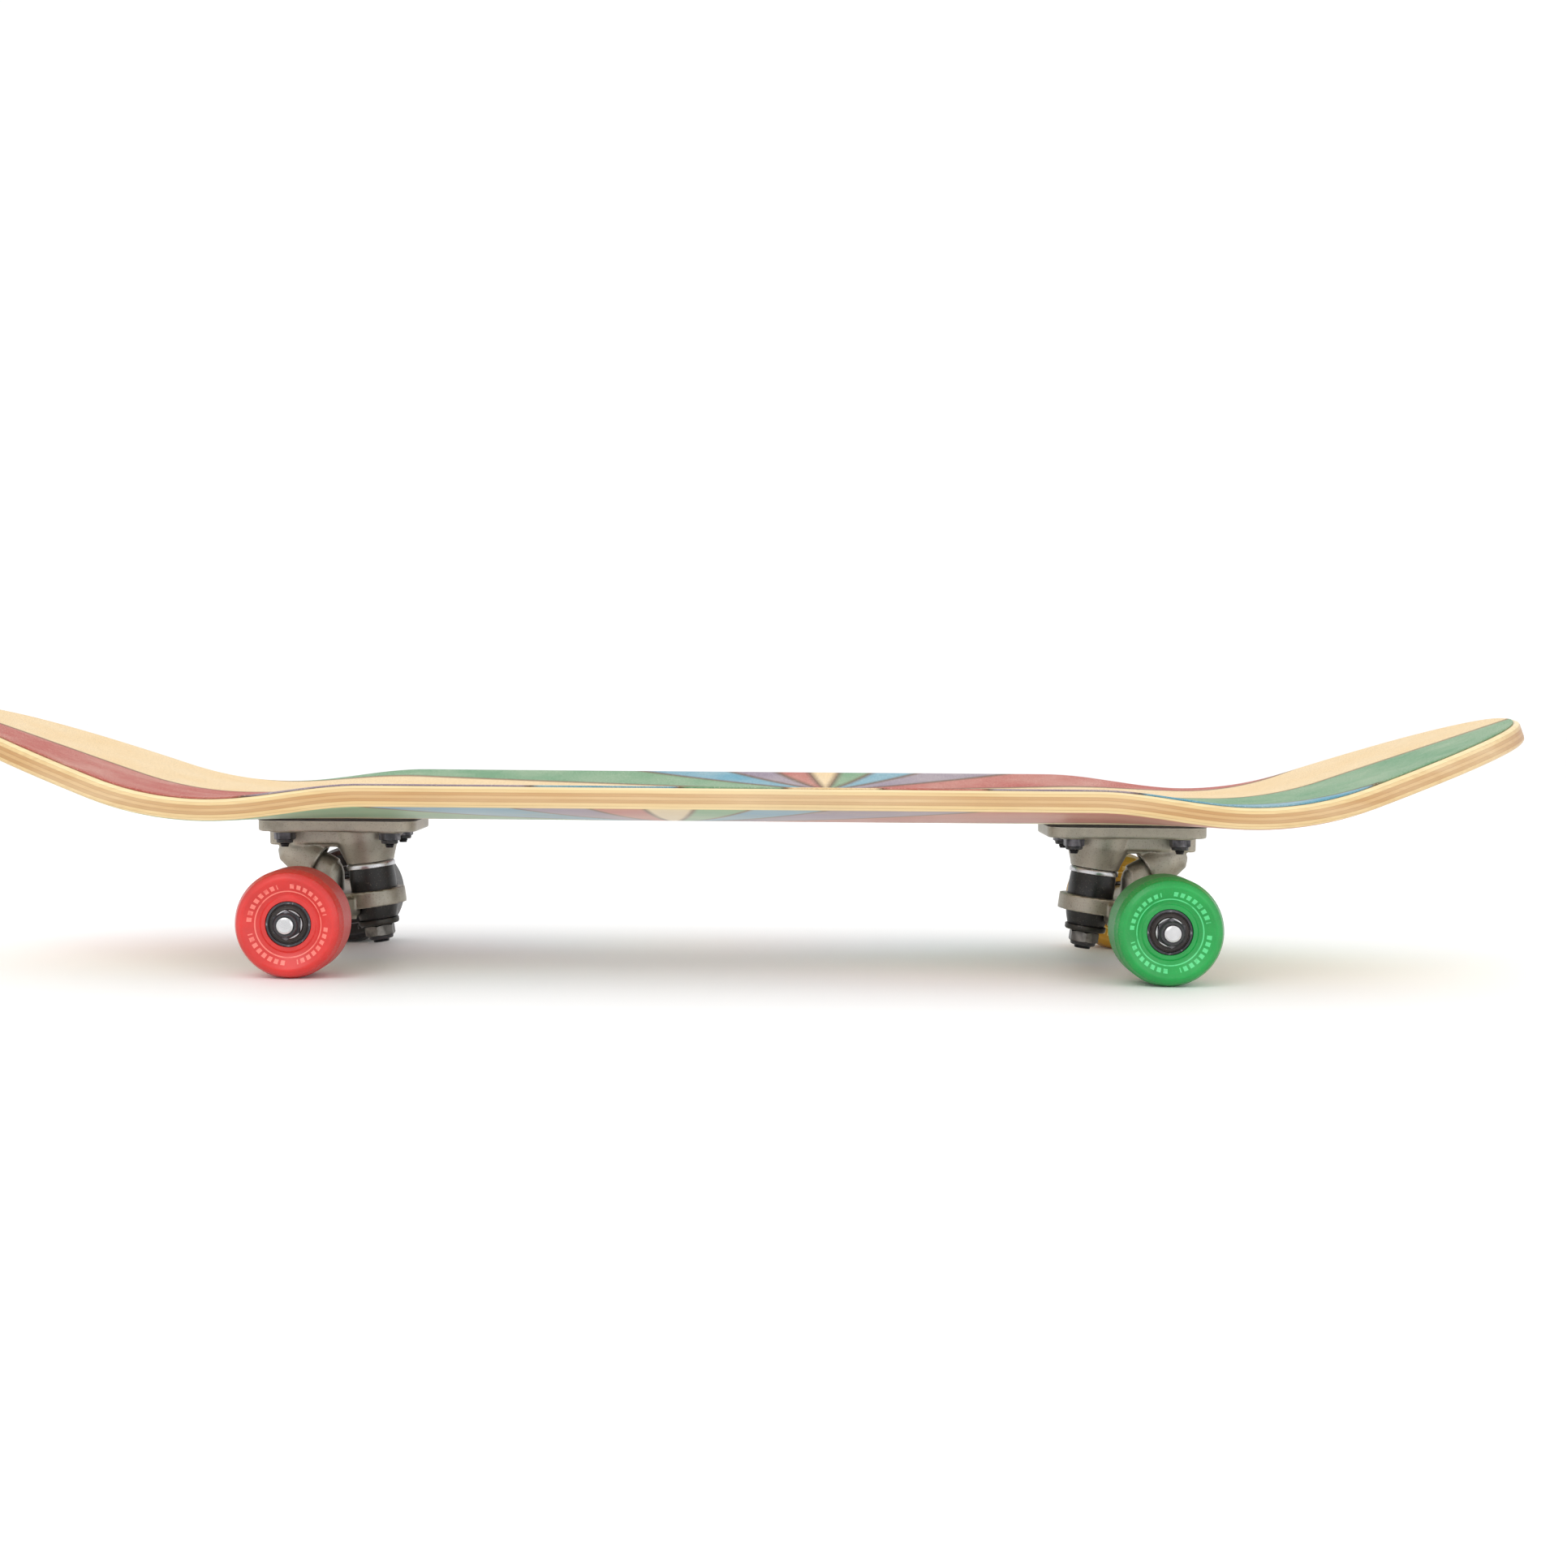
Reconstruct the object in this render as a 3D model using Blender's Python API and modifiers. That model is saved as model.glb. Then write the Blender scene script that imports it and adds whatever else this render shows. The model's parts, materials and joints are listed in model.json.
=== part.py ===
"""A street skateboard: kicked maple deck, printed grip sheet, two steering trucks and four wheels.

Metres, +Z up. The board runs along X with its front at +X, and stands on the ground plane z = 0,
centred over the origin. Each truck is built once in its own frame, with x pointing outwards to
the nearer tip, y along the axle and z measured from the ground, and is then placed twice.
"""

from math import cos, pi, radians, sin, sqrt, tan

import bmesh
import bpy
from mathutils import Matrix, Vector

# Fits
GAP = 0.0003
HOLE_PLAY = 0.0003

# Deck, measured over its top face: its square-cut edges lean out by a few millimetres more
DECK_LENGTH = 0.803
DECK_WIDTH = 0.2025
DECK_THICKNESS = 0.0105
UNDERSIDE_HEIGHT = 0.0745
CONCAVE_RISE = 0.0095
CONCAVE_POWER = 1.6
KICK_CONCAVE_RISE = 0.0020
CONCAVE_FADE_START = 0.175
FLAT_SHARE = 0.28
KICK_START = 0.250
KICK_RADIUS = 0.165
KICK_ANGLE = radians(20.0)
NOSE_LENGTH = 0.211
NOSE_ROUNDNESS = 2.35
NOSE_STATIONS = 12
GRIP_THICKNESS = 0.0007
GRIP_INSET = 0.0008

# Running gear
AXLE_SPACING = 0.424
WHEEL_RADIUS = 0.0265
WHEEL_WIDTH = 0.0315
WHEEL_CORE_WIDTH = 0.0250
WHEEL_TREAD_WIDTH = 0.0190
WHEEL_OFFSET = 0.07825
BEARING_RADIUS = 0.0110
BEARING_BORE = 0.0084
BEARING_WIDTH = 0.0070
SPACER_LENGTH = 0.0106
AXLE_DIAMETER = 0.0079
AXLE_LENGTH = 0.1980
SPEED_WASHER_THICKNESS = 0.0008
AXLE_NUT_ACROSS_FLATS = 0.0127
AXLE_NUT_HEIGHT = 0.0055

# Truck geometry, in the truck's own frame
AXLE_HEIGHT = WHEEL_RADIUS
RING_CENTRE = Vector((-0.026, 0.0, AXLE_HEIGHT + 0.005))
PIVOT_POINT = Vector((0.012, 0.0, AXLE_HEIGHT + 0.0285))
KINGPIN_LEAN = radians(8.0)
HANGER_LENGTH = 0.1301
HANGER_END_RADIUS = 0.0088
HANGER_MID_RADIUS = 0.0122
RING_RADIUS = 0.0155
RING_THICKNESS = 0.0080
RING_HOLE_RADIUS = 0.0062
BUSHING_SEAT_DEPTH = 0.0020
BUSHING_RADIUS = 0.0120
UPPER_BUSHING_HEIGHT = 0.0145
LOWER_BUSHING_HEIGHT = 0.0100
CUP_WASHER_THICKNESS = 0.0015
KINGPIN_DIAMETER = 0.0094
KINGPIN_HEAD_ACROSS_FLATS = 0.0142
KINGPIN_HEAD_HEIGHT = 0.0056
KINGPIN_NUT_HEIGHT = 0.0075

# Baseplate and its hardware
BASEPLATE_LENGTH = 0.081
BASEPLATE_WIDTH = 0.056
BASEPLATE_CORNER = 0.009
FLANGE_THICKNESS = 0.0055
RISER_THICKNESS = 0.0013
PLATE_CENTRE_X = -0.010
BOLT_SPACING_LONG = 0.0539
BOLT_SPACING_WIDE = 0.0413
BOLT_DIAMETER = 0.0048
BOLT_HEAD_RADIUS = 0.0046
BOLT_END_HEIGHT = 0.0590
LOCK_NUT_ACROSS_FLATS = 0.0095
LOCK_NUT_HEIGHT = 0.0058
PIVOT_CUP_RADIUS = 0.0080
PIVOT_HOUSING_RADIUS = 0.0108

# Facets on round pieces
WHEEL_STEPS = 32
BEARING_STEPS = 16
BODY_STEPS = 20
SMALL_STEPS = 12

# Heights that follow from the stack under the deck
RISER_TOP = UNDERSIDE_HEIGHT - GAP
BASEPLATE_TOP = RISER_TOP - RISER_THICKNESS - GAP
FLANGE_BOTTOM = BASEPLATE_TOP - FLANGE_THICKNESS
DECK_TOP = UNDERSIDE_HEIGHT + DECK_THICKNESS

# Distances along the kingpin, measured up from the middle of the hanger's ring
UPPER_BUSHING_BOTTOM = RING_THICKNESS / 2 - BUSHING_SEAT_DEPTH + GAP
UPPER_BUSHING_TOP = UPPER_BUSHING_BOTTOM + UPPER_BUSHING_HEIGHT
UPPER_WASHER_TOP = UPPER_BUSHING_TOP + GAP + CUP_WASHER_THICKNESS
PEDESTAL_SEAT = UPPER_WASHER_TOP + GAP
LOWER_BUSHING_BOTTOM = -UPPER_BUSHING_BOTTOM - LOWER_BUSHING_HEIGHT
LOWER_WASHER_BOTTOM = LOWER_BUSHING_BOTTOM - GAP - CUP_WASHER_THICKNESS
KINGPIN_NUT_TOP = LOWER_WASHER_BOTTOM - GAP
KINGPIN_NUT_BOTTOM = KINGPIN_NUT_TOP - KINGPIN_NUT_HEIGHT
KINGPIN_END = KINGPIN_NUT_BOTTOM - 0.0015
KINGPIN_HEAD_BOTTOM = 0.0344
KINGPIN_HEAD_TOP = KINGPIN_HEAD_BOTTOM + KINGPIN_HEAD_HEIGHT

# Distances along the steering axis, measured out from the middle of the hanger's ring
STEER_DIRECTION = (PIVOT_POINT - RING_CENTRE).normalized()
NOSE_TIP = (PIVOT_POINT - RING_CENTRE).length
PIVOT_CUP_MOUTH = NOSE_TIP - 0.0085
PIVOT_CUP_FLOOR = NOSE_TIP + 0.0028
KINGPIN_DIRECTION = Vector((sin(KINGPIN_LEAN), 0.0, cos(KINGPIN_LEAN)))

MATERIALS = {
    "maple": ((0.86, 0.70, 0.46), 0.45, 0.0),
    "printed_grip": ((0.30, 0.55, 0.45), 0.70, 0.0),
    "riser_plastic": ((0.03, 0.03, 0.03), 0.60, 0.0),
    "cast_aluminium": ((0.60, 0.58, 0.54), 0.42, 1.0),
    "black_steel": ((0.03, 0.03, 0.03), 0.35, 0.8),
    "bright_steel": ((0.75, 0.75, 0.76), 0.25, 1.0),
    "bushing_urethane": ((0.02, 0.02, 0.022), 0.45, 0.0),
    "pivot_urethane": ((0.04, 0.05, 0.045), 0.50, 0.0),
    "bearing_black": ((0.05, 0.04, 0.04), 0.40, 0.3),
    "wheel_red": ((0.85, 0.10, 0.08), 0.35, 0.0),
    "wheel_green": ((0.02, 0.42, 0.12), 0.35, 0.0),
    "wheel_black": ((0.02, 0.02, 0.02), 0.35, 0.0),
    "wheel_gold": ((0.75, 0.50, 0.08), 0.35, 0.0),
}

WHEEL_COLOURS = {
    "front_left": "wheel_gold",
    "front_right": "wheel_green",
    "rear_left": "wheel_black",
    "rear_right": "wheel_red",
}


def clear_scene():
    for obj in list(bpy.data.objects):
        bpy.data.objects.remove(obj, do_unlink=True)


def make_material(name):
    colour, roughness, metallic = MATERIALS[name]
    material = bpy.data.materials.new(name)
    material.use_nodes = True
    shader = material.node_tree.nodes["Principled BSDF"]
    shader.inputs["Base Color"].default_value = (*colour, 1.0)
    shader.inputs["Roughness"].default_value = roughness
    shader.inputs["Metallic"].default_value = metallic
    material.diffuse_color = (*colour, 1.0)
    return material


def new_collection(name):
    collection = bpy.data.collections.new(name)
    bpy.context.scene.collection.children.link(collection)
    return collection


clear_scene()
PARTS = new_collection("skateboard")
TOOLS = new_collection("cutters")
FINISHES = {name: make_material(name) for name in MATERIALS}


# Modelling helpers


def tool(name, mesh, matrix=None):
    """A wire-only object that shapes another one."""
    obj = bpy.data.objects.new(name, mesh)
    obj.matrix_world = matrix or Matrix.Identity(4)
    obj.display_type = "WIRE"
    obj.hide_render = True
    TOOLS.objects.link(obj)
    return obj


def evaluated_mesh(obj):
    """The object's mesh with its modifiers and its placement applied."""
    bpy.context.view_layer.update()
    graph = bpy.context.evaluated_depsgraph_get()
    mesh = bpy.data.meshes.new_from_object(obj.evaluated_get(graph))
    mesh.transform(obj.matrix_world)
    return mesh


def baked(obj, *helpers):
    """Turns a working object into a plain mesh and clears it and its helpers away."""
    mesh = evaluated_mesh(obj)
    for used in (obj, *helpers):
        bpy.data.objects.remove(used, do_unlink=True)
    return mesh


def along(origin, direction):
    """A frame at origin whose z runs along direction and whose y stays level."""
    z = direction.normalized()
    y = Vector((0.0, 1.0, 0.0)) if abs(z.y) < 0.5 else Vector((0.0, 0.0, 1.0))
    x = y.cross(z).normalized()
    return Matrix.Translation(origin) @ Matrix((x, z.cross(x), z)).transposed().to_4x4()


def turned(profile, steps, matrix=None, ring=False):
    """A turned mesh. The profile is (radius, height) pairs that run down the outer side."""
    mesh = bpy.data.meshes.new("profile")
    points = [(radius, 0.0, height) for radius, height in profile]
    edges = [(i, i + 1) for i in range(len(points) - 1)]
    if ring:
        edges.append((len(points) - 1, 0))
    mesh.from_pydata(points, edges, [])
    obj = tool("turned", mesh)
    screw = obj.modifiers.new("Turn", "SCREW")
    screw.steps = steps
    screw.render_steps = steps
    screw.use_merge_vertices = True
    screw.merge_threshold = 0.00001
    mesh = baked(obj)
    merge_flat_ends(mesh)
    mesh.transform(matrix or Matrix.Identity(4))
    return mesh


def merge_flat_ends(mesh):
    """Makes each flat end of a turned mesh a single face, without a point on the axis."""
    shape = bmesh.new()
    shape.from_mesh(mesh)
    shape.normal_update()
    centres = [
        vert for vert in shape.verts
        if vert.co.xy.length < 1e-6 and all(abs(f.normal.z) > 0.9999 for f in vert.link_faces)
    ]
    bmesh.ops.dissolve_verts(shape, verts=centres)
    shape.to_mesh(mesh)
    shape.free()


def bar(radius, low, high, segments, matrix=None):
    """A prism with level ends, its corners half a facet round from a turned mesh's."""
    shape = bmesh.new()
    bmesh.ops.create_cone(
        shape, cap_ends=True, segments=segments, radius1=radius, radius2=radius,
        depth=high - low, matrix=Matrix.Rotation(pi / segments, 4, "Z"),
    )
    bmesh.ops.translate(shape, verts=shape.verts, vec=(0.0, 0.0, (high + low) / 2))
    mesh = bpy.data.meshes.new("bar")
    shape.to_mesh(mesh)
    shape.free()
    mesh.transform(matrix or Matrix.Identity(4))
    return mesh


def washer(outer, bore, low, high, steps, matrix=None):
    """A flat ring between two heights."""
    profile = [(bore, high), (outer, high), (outer, low), (bore, low)]
    return turned(profile, steps, matrix, ring=True)


def hexagon(across_flats, low, high, matrix=None):
    """A hexagonal prism between two heights."""
    return bar(across_flats / sqrt(3.0), low, high, 6, matrix)


def block(low, high, corner=0.0, corner_segments=4):
    """A box between two opposite corners, with its four upright edges rounded."""
    low, high = Vector(low), Vector(high)
    shape = bmesh.new()
    bmesh.ops.create_cube(shape, size=1.0)
    bmesh.ops.scale(shape, verts=shape.verts, vec=high - low)
    bmesh.ops.translate(shape, verts=shape.verts, vec=(high + low) / 2)
    if corner:
        upright = [e for e in shape.edges if abs(e.verts[0].co.z - e.verts[1].co.z) > 1e-6]
        bmesh.ops.bevel(
            shape, geom=upright, offset=corner, segments=corner_segments, profile=0.5,
            affect="EDGES",
        )
    mesh = bpy.data.meshes.new("block")
    shape.to_mesh(mesh)
    shape.free()
    return mesh


def combined(base, joins=(), cuts=()):
    """A mesh joined to some meshes and then cut by others."""
    body = tool("body", base)
    helpers = []
    for operation, meshes in (("UNION", joins), ("DIFFERENCE", cuts)):
        for mesh in meshes:
            helper = tool("helper", mesh)
            step = body.modifiers.new(operation.title(), "BOOLEAN")
            step.operation = operation
            step.solver = "EXACT"
            step.object = helper
            helpers.append(helper)
    return baked(body, *helpers)


def place(name, mesh, finish, matrix=None, parent=None):
    """Adds a finished piece of the skateboard, in its parent's frame if it has one."""
    mesh = mesh.copy()
    mesh.name = name
    mesh.materials.clear()
    mesh.materials.append(FINISHES[finish])
    mesh.shade_smooth()
    mesh.set_sharp_from_angle(angle=radians(35.0))
    obj = bpy.data.objects.new(name, mesh)
    PARTS.objects.link(obj)
    obj.parent = parent
    obj.matrix_local = matrix or Matrix.Identity(4)
    return obj


def frame(name, matrix, parent=None):
    """An empty that carries pieces."""
    empty = bpy.data.objects.new(name, None)
    empty.empty_display_size = 0.02
    PARTS.objects.link(empty)
    empty.parent = parent
    empty.matrix_local = matrix
    return empty


# Deck


def half_width(x):
    """Half the deck's width at a station: straight sides, then a rounded nose."""
    past = abs(x) - (DECK_LENGTH / 2 - NOSE_LENGTH)
    share = min(max(past / NOSE_LENGTH, 0.0), 1.0)
    return DECK_WIDTH / 2 * (1.0 - share**NOSE_ROUNDNESS) ** (1.0 / NOSE_ROUNDNESS)


def kick_rise(x):
    """How far the centre line has risen: an arc that runs out into a straight ramp."""
    past = max(abs(x) - KICK_START, 0.0)
    arc_reach = KICK_RADIUS * sin(KICK_ANGLE)
    arc = KICK_RADIUS - sqrt(KICK_RADIUS**2 - min(past, arc_reach) ** 2)
    return arc + max(past - arc_reach, 0.0) * tan(KICK_ANGLE)


def concave_rise(x, y):
    """How far the deck has risen beside its flat middle band. It fades towards the kicks."""
    fade = (abs(x) - CONCAVE_FADE_START) / (KICK_START - CONCAVE_FADE_START)
    blend = min(max(fade, 0.0), 1.0)
    blend = blend * blend * (3.0 - 2.0 * blend)
    rail_rise = CONCAVE_RISE + (KICK_CONCAVE_RISE - CONCAVE_RISE) * blend
    flat = FLAT_SHARE * DECK_WIDTH / 2
    share = max(abs(y) - flat, 0.0) / (DECK_WIDTH / 2 - flat)
    return rail_rise * share**CONCAVE_POWER


def deck_stations():
    """Places along the board: even across the middle, closing up towards each tip."""
    nose_start = DECK_LENGTH / 2 - NOSE_LENGTH
    outer = [
        nose_start + NOSE_LENGTH * sin(pi / 2 * i / NOSE_STATIONS)
        for i in range(NOSE_STATIONS + 1)
    ]
    fade_middle = (CONCAVE_FADE_START + KICK_START) / 2
    outer = sorted(outer + [CONCAVE_FADE_START, fade_middle, KICK_START])
    return [-x for x in reversed(outer)] + [0.0] + outer


def curved_sheet(height, inset, thickness, grow_up):
    """A sheet that follows the deck's top surface, made solid on one side of it."""
    stations = deck_stations()
    shares = (-1.0, -0.78, -0.52, -FLAT_SHARE, 0.0, FLAT_SHARE, 0.52, 0.78, 1.0)
    shape = bmesh.new()
    bmesh.ops.create_grid(
        shape, x_segments=len(stations) - 1, y_segments=len(shares) - 1, size=1.0
    )
    shrink = 1.0 - inset / (DECK_LENGTH / 2)
    for vert in shape.verts:
        station = stations[round((vert.co.x + 1.0) / 2 * (len(stations) - 1))]
        share = shares[round((vert.co.y + 1.0) / 2 * (len(shares) - 1))]
        x = station * shrink
        y = share * max(half_width(station) - inset, 0.0)
        vert.co = (x, y, height + kick_rise(x) + concave_rise(x, y))
    bmesh.ops.remove_doubles(shape, verts=shape.verts, dist=0.0001)
    mesh = bpy.data.meshes.new("sheet")
    shape.to_mesh(mesh)
    shape.free()
    obj = tool("sheet", mesh)
    solid = obj.modifiers.new("Thickness", "SOLIDIFY")
    solid.thickness = thickness
    solid.offset = 1.0 if grow_up else -1.0
    solid.use_even_offset = True
    return baked(obj)


def bolt_places():
    """The eight bolt positions as (label, x, y) in the board's frame."""
    spots = []
    for label, side in (("front", 1), ("rear", -1)):
        number = 0
        for end in (-1, 1):
            for across in (-1, 1):
                number += 1
                x = side * (AXLE_SPACING / 2 + PLATE_CENTRE_X + end * BOLT_SPACING_LONG / 2)
                spots.append((f"{label}_{number}", x, across * BOLT_SPACING_WIDE / 2))
    return spots


def build_deck():
    top = DECK_TOP
    sheet = curved_sheet(top, 0.0, DECK_THICKNESS, grow_up=False)
    shank = BOLT_DIAMETER / 2 + HOLE_PLAY
    mouth = BOLT_HEAD_RADIUS + HOLE_PLAY
    hole = [
        (0.0, top + 0.002),
        (mouth, top + 0.002),
        (mouth, top - 0.0004),
        (shank, top - 0.0004 - (mouth - shank)),
        (shank, UNDERSIDE_HEIGHT - 0.002),
        (0.0, UNDERSIDE_HEIGHT - 0.002),
    ]
    drills = [
        turned(hole, SMALL_STEPS, Matrix.Translation((x, y, 0.0))) for _, x, y in bolt_places()
    ]
    place("deck", combined(sheet, cuts=drills), "maple")

    grip = curved_sheet(top + GAP, GRIP_INSET, GRIP_THICKNESS, grow_up=True)
    punch = [
        bar(mouth + GAP, top - 0.002, top + 0.004, SMALL_STEPS, Matrix.Translation((x, y, 0.0)))
        for _, x, y in bolt_places()
    ]
    place("grip_sheet", combined(grip, cuts=punch), "printed_grip")


def build_deck_hardware():
    """Eight countersunk bolts and the lock nuts under the baseplates."""
    head_top = DECK_TOP + GAP
    shank = BOLT_DIAMETER / 2
    bolt = turned(
        [
            (0.0, head_top),
            (BOLT_HEAD_RADIUS, head_top),
            (BOLT_HEAD_RADIUS, head_top - 0.0006),
            (shank, head_top - 0.0006 - (BOLT_HEAD_RADIUS - shank)),
            (shank, BOLT_END_HEIGHT),
            (0.0, BOLT_END_HEIGHT),
        ],
        SMALL_STEPS,
    )
    nut_top = FLANGE_BOTTOM - GAP
    nut = combined(
        hexagon(LOCK_NUT_ACROSS_FLATS, nut_top - LOCK_NUT_HEIGHT, nut_top),
        cuts=[bar(shank + HOLE_PLAY, BOLT_END_HEIGHT - 0.002, nut_top + 0.002, SMALL_STEPS)],
    )
    for label, x, y in bolt_places():
        spot = Matrix.Translation((x, y, 0.0))
        place(f"deck_bolt_{label}", bolt, "black_steel", spot)
        place(f"lock_nut_{label}", nut, "black_steel", spot)


# Truck pieces, in the truck's frame

KINGPIN_FRAME = along(RING_CENTRE, KINGPIN_DIRECTION)
STEER_FRAME = along(RING_CENTRE, STEER_DIRECTION)
AXLE_FRAME = along(Vector((0.0, 0.0, AXLE_HEIGHT)), Vector((0.0, 1.0, 0.0)))


def plate_holes(low, high):
    """Drills for the four bolts of one baseplate."""
    radius = BOLT_DIAMETER / 2 + HOLE_PLAY
    return [
        bar(
            radius, low, high, SMALL_STEPS,
            Matrix.Translation(
                (
                    PLATE_CENTRE_X + end * BOLT_SPACING_LONG / 2,
                    across * BOLT_SPACING_WIDE / 2,
                    0.0,
                )
            ),
        )
        for end in (-1, 1)
        for across in (-1, 1)
    ]


def plate_block(low, high):
    half_length = BASEPLATE_LENGTH / 2
    half_width_y = BASEPLATE_WIDTH / 2
    return block(
        (PLATE_CENTRE_X - half_length, -half_width_y, low),
        (PLATE_CENTRE_X + half_length, half_width_y, high),
        corner=BASEPLATE_CORNER,
    )


def riser_pad():
    low = RISER_TOP - RISER_THICKNESS
    return combined(plate_block(low, RISER_TOP), cuts=plate_holes(low - 0.002, RISER_TOP + 0.002))


def baseplate():
    """Flange, kingpin pedestal and pivot housing in one casting."""
    pedestal = turned(
        [
            (0.0, 0.0450),
            (0.0185, 0.0450),
            (0.0160, 0.0300),
            (0.0124, PEDESTAL_SEAT + 0.0015),
            (0.0115, PEDESTAL_SEAT),
            (0.0, PEDESTAL_SEAT),
        ],
        BODY_STEPS,
        KINGPIN_FRAME,
    )
    mouth = PIVOT_CUP_MOUTH - 0.0005
    housing = turned(
        [
            (0.0, NOSE_TIP + 0.0115),
            (0.0060, NOSE_TIP + 0.0110),
            (0.0095, NOSE_TIP + 0.0075),
            (PIVOT_HOUSING_RADIUS, NOSE_TIP + 0.0015),
            (PIVOT_HOUSING_RADIUS, mouth),
            (0.0, mouth),
        ],
        BODY_STEPS,
        STEER_FRAME,
    )
    spine = block((-0.014, -0.007, 0.0585), (0.012, 0.007, 0.0700))
    buttress = block((0.006, -0.0085, 0.0590), (0.0275, 0.0085, 0.0702), corner=0.004)
    above = block((-0.1, -0.1, BASEPLATE_TOP), (0.1, 0.1, BASEPLATE_TOP + 0.1))
    cup_bore = bar(
        PIVOT_CUP_RADIUS + HOLE_PLAY, mouth - 0.010, PIVOT_CUP_FLOOR + GAP, BODY_STEPS, STEER_FRAME
    )
    kingpin_bore = bar(
        KINGPIN_DIAMETER / 2 + HOLE_PLAY, PEDESTAL_SEAT - 0.01, 0.050, BODY_STEPS, KINGPIN_FRAME
    )
    head_pocket = bar(
        KINGPIN_HEAD_ACROSS_FLATS / sqrt(3.0) + 0.0006,
        KINGPIN_HEAD_BOTTOM - GAP, 0.060, BODY_STEPS, KINGPIN_FRAME,
    )
    holes = plate_holes(FLANGE_BOTTOM - 0.010, BASEPLATE_TOP + 0.002)
    return combined(
        plate_block(FLANGE_BOTTOM, BASEPLATE_TOP + 0.001),
        joins=[pedestal, housing, spine, buttress],
        cuts=[above, cup_bore, kingpin_bore, head_pocket, *holes],
    )


def nose_radius_profile(clearance):
    """The pivot nose from its tip back to its shoulder, grown by a clearance."""
    return [
        (0.0, NOSE_TIP + clearance),
        (0.0036 + clearance / 2, NOSE_TIP - 0.0006 + clearance),
        (0.0052 + clearance, NOSE_TIP - 0.0024),
        (0.0056 + clearance, NOSE_TIP - 0.0045),
        (0.0060 + clearance, PIVOT_CUP_MOUTH),
    ]


def pivot_cup():
    """The urethane thimble that the pivot nose turns in."""
    inner = nose_radius_profile(HOLE_PLAY)
    outer = [
        (0.0, PIVOT_CUP_FLOOR),
        (PIVOT_CUP_RADIUS, PIVOT_CUP_FLOOR),
        (PIVOT_CUP_RADIUS, PIVOT_CUP_MOUTH),
    ]
    return turned(outer + list(reversed(inner)), BODY_STEPS, STEER_FRAME)


def hanger():
    """Axle arms, bushing ring and pivot nose in one casting."""
    end = HANGER_LENGTH / 2
    arms = turned(
        [
            (0.0, end),
            (HANGER_END_RADIUS, end),
            (0.0096, 0.050),
            (HANGER_MID_RADIUS, 0.024),
            (HANGER_MID_RADIUS, -0.024),
            (0.0096, -0.050),
            (HANGER_END_RADIUS, -end),
            (0.0, -end),
        ],
        BODY_STEPS,
        AXLE_FRAME,
    )
    ring = bar(RING_RADIUS, -RING_THICKNESS / 2, RING_THICKNESS / 2, BODY_STEPS, KINGPIN_FRAME)
    web = block((-0.018, -0.0115, 0.0215), (0.002, 0.0115, 0.0338))
    neck_top = RING_CENTRE + STEER_DIRECTION * 0.0275
    neck_foot = Vector((0.0015, 0.0, 0.0220))
    neck_frame = along(neck_foot, neck_top - neck_foot)
    neck_length = (neck_top - neck_foot).length
    neck = turned(
        [
            (0.0, neck_length + 0.0062),
            (0.0045, neck_length + 0.0040),
            (0.0066, neck_length),
            (0.0120, 0.0),
            (0.0, 0.0),
        ],
        BODY_STEPS,
        neck_frame,
    )
    nose = turned(
        nose_radius_profile(0.0) + [(0.0068, 0.0315), (0.0068, 0.0265), (0.0, 0.0265)],
        BODY_STEPS,
        STEER_FRAME,
    )
    seat = RING_THICKNESS / 2 - BUSHING_SEAT_DEPTH
    room = BUSHING_RADIUS + HOLE_PLAY
    upper_room = bar(room, seat, PEDESTAL_SEAT + 0.002, BODY_STEPS, KINGPIN_FRAME)
    lower_room = bar(room, -0.030, -seat, BODY_STEPS, KINGPIN_FRAME)
    ring_hole = bar(RING_HOLE_RADIUS, -0.010, 0.010, BODY_STEPS, KINGPIN_FRAME)
    axle_bore = bar(
        AXLE_DIAMETER / 2 + HOLE_PLAY, -HANGER_LENGTH, HANGER_LENGTH, SMALL_STEPS, AXLE_FRAME
    )
    return combined(
        arms,
        joins=[web, ring, neck, nose],
        cuts=[upper_room, lower_room, ring_hole, axle_bore],
    )


def kingpin():
    head = hexagon(
        KINGPIN_HEAD_ACROSS_FLATS, KINGPIN_HEAD_BOTTOM, KINGPIN_HEAD_TOP, KINGPIN_FRAME
    )
    middle = (KINGPIN_HEAD_BOTTOM + KINGPIN_HEAD_TOP) / 2
    shank = bar(KINGPIN_DIAMETER / 2, KINGPIN_END, middle, BODY_STEPS, KINGPIN_FRAME)
    return combined(head, joins=[shank])


def kingpin_nut():
    body = hexagon(
        KINGPIN_HEAD_ACROSS_FLATS, KINGPIN_NUT_BOTTOM, KINGPIN_NUT_TOP, KINGPIN_FRAME
    )
    bore = bar(
        KINGPIN_DIAMETER / 2 + HOLE_PLAY, KINGPIN_END - 0.005, 0.0, BODY_STEPS, KINGPIN_FRAME
    )
    return combined(body, cuts=[bore])


def bushing(low, high, narrow_end):
    """A urethane bushing, straight or tapered towards the kingpin nut."""
    bore = KINGPIN_DIAMETER / 2 + HOLE_PLAY
    profile = [(bore, high), (BUSHING_RADIUS, high), (narrow_end, low), (bore, low)]
    return turned(profile, BODY_STEPS, KINGPIN_FRAME, ring=True)


def cup_washer(low):
    bore = KINGPIN_DIAMETER / 2 + HOLE_PLAY
    return washer(
        BUSHING_RADIUS, bore, low, low + CUP_WASHER_THICKNESS, BODY_STEPS, KINGPIN_FRAME
    )


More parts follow.
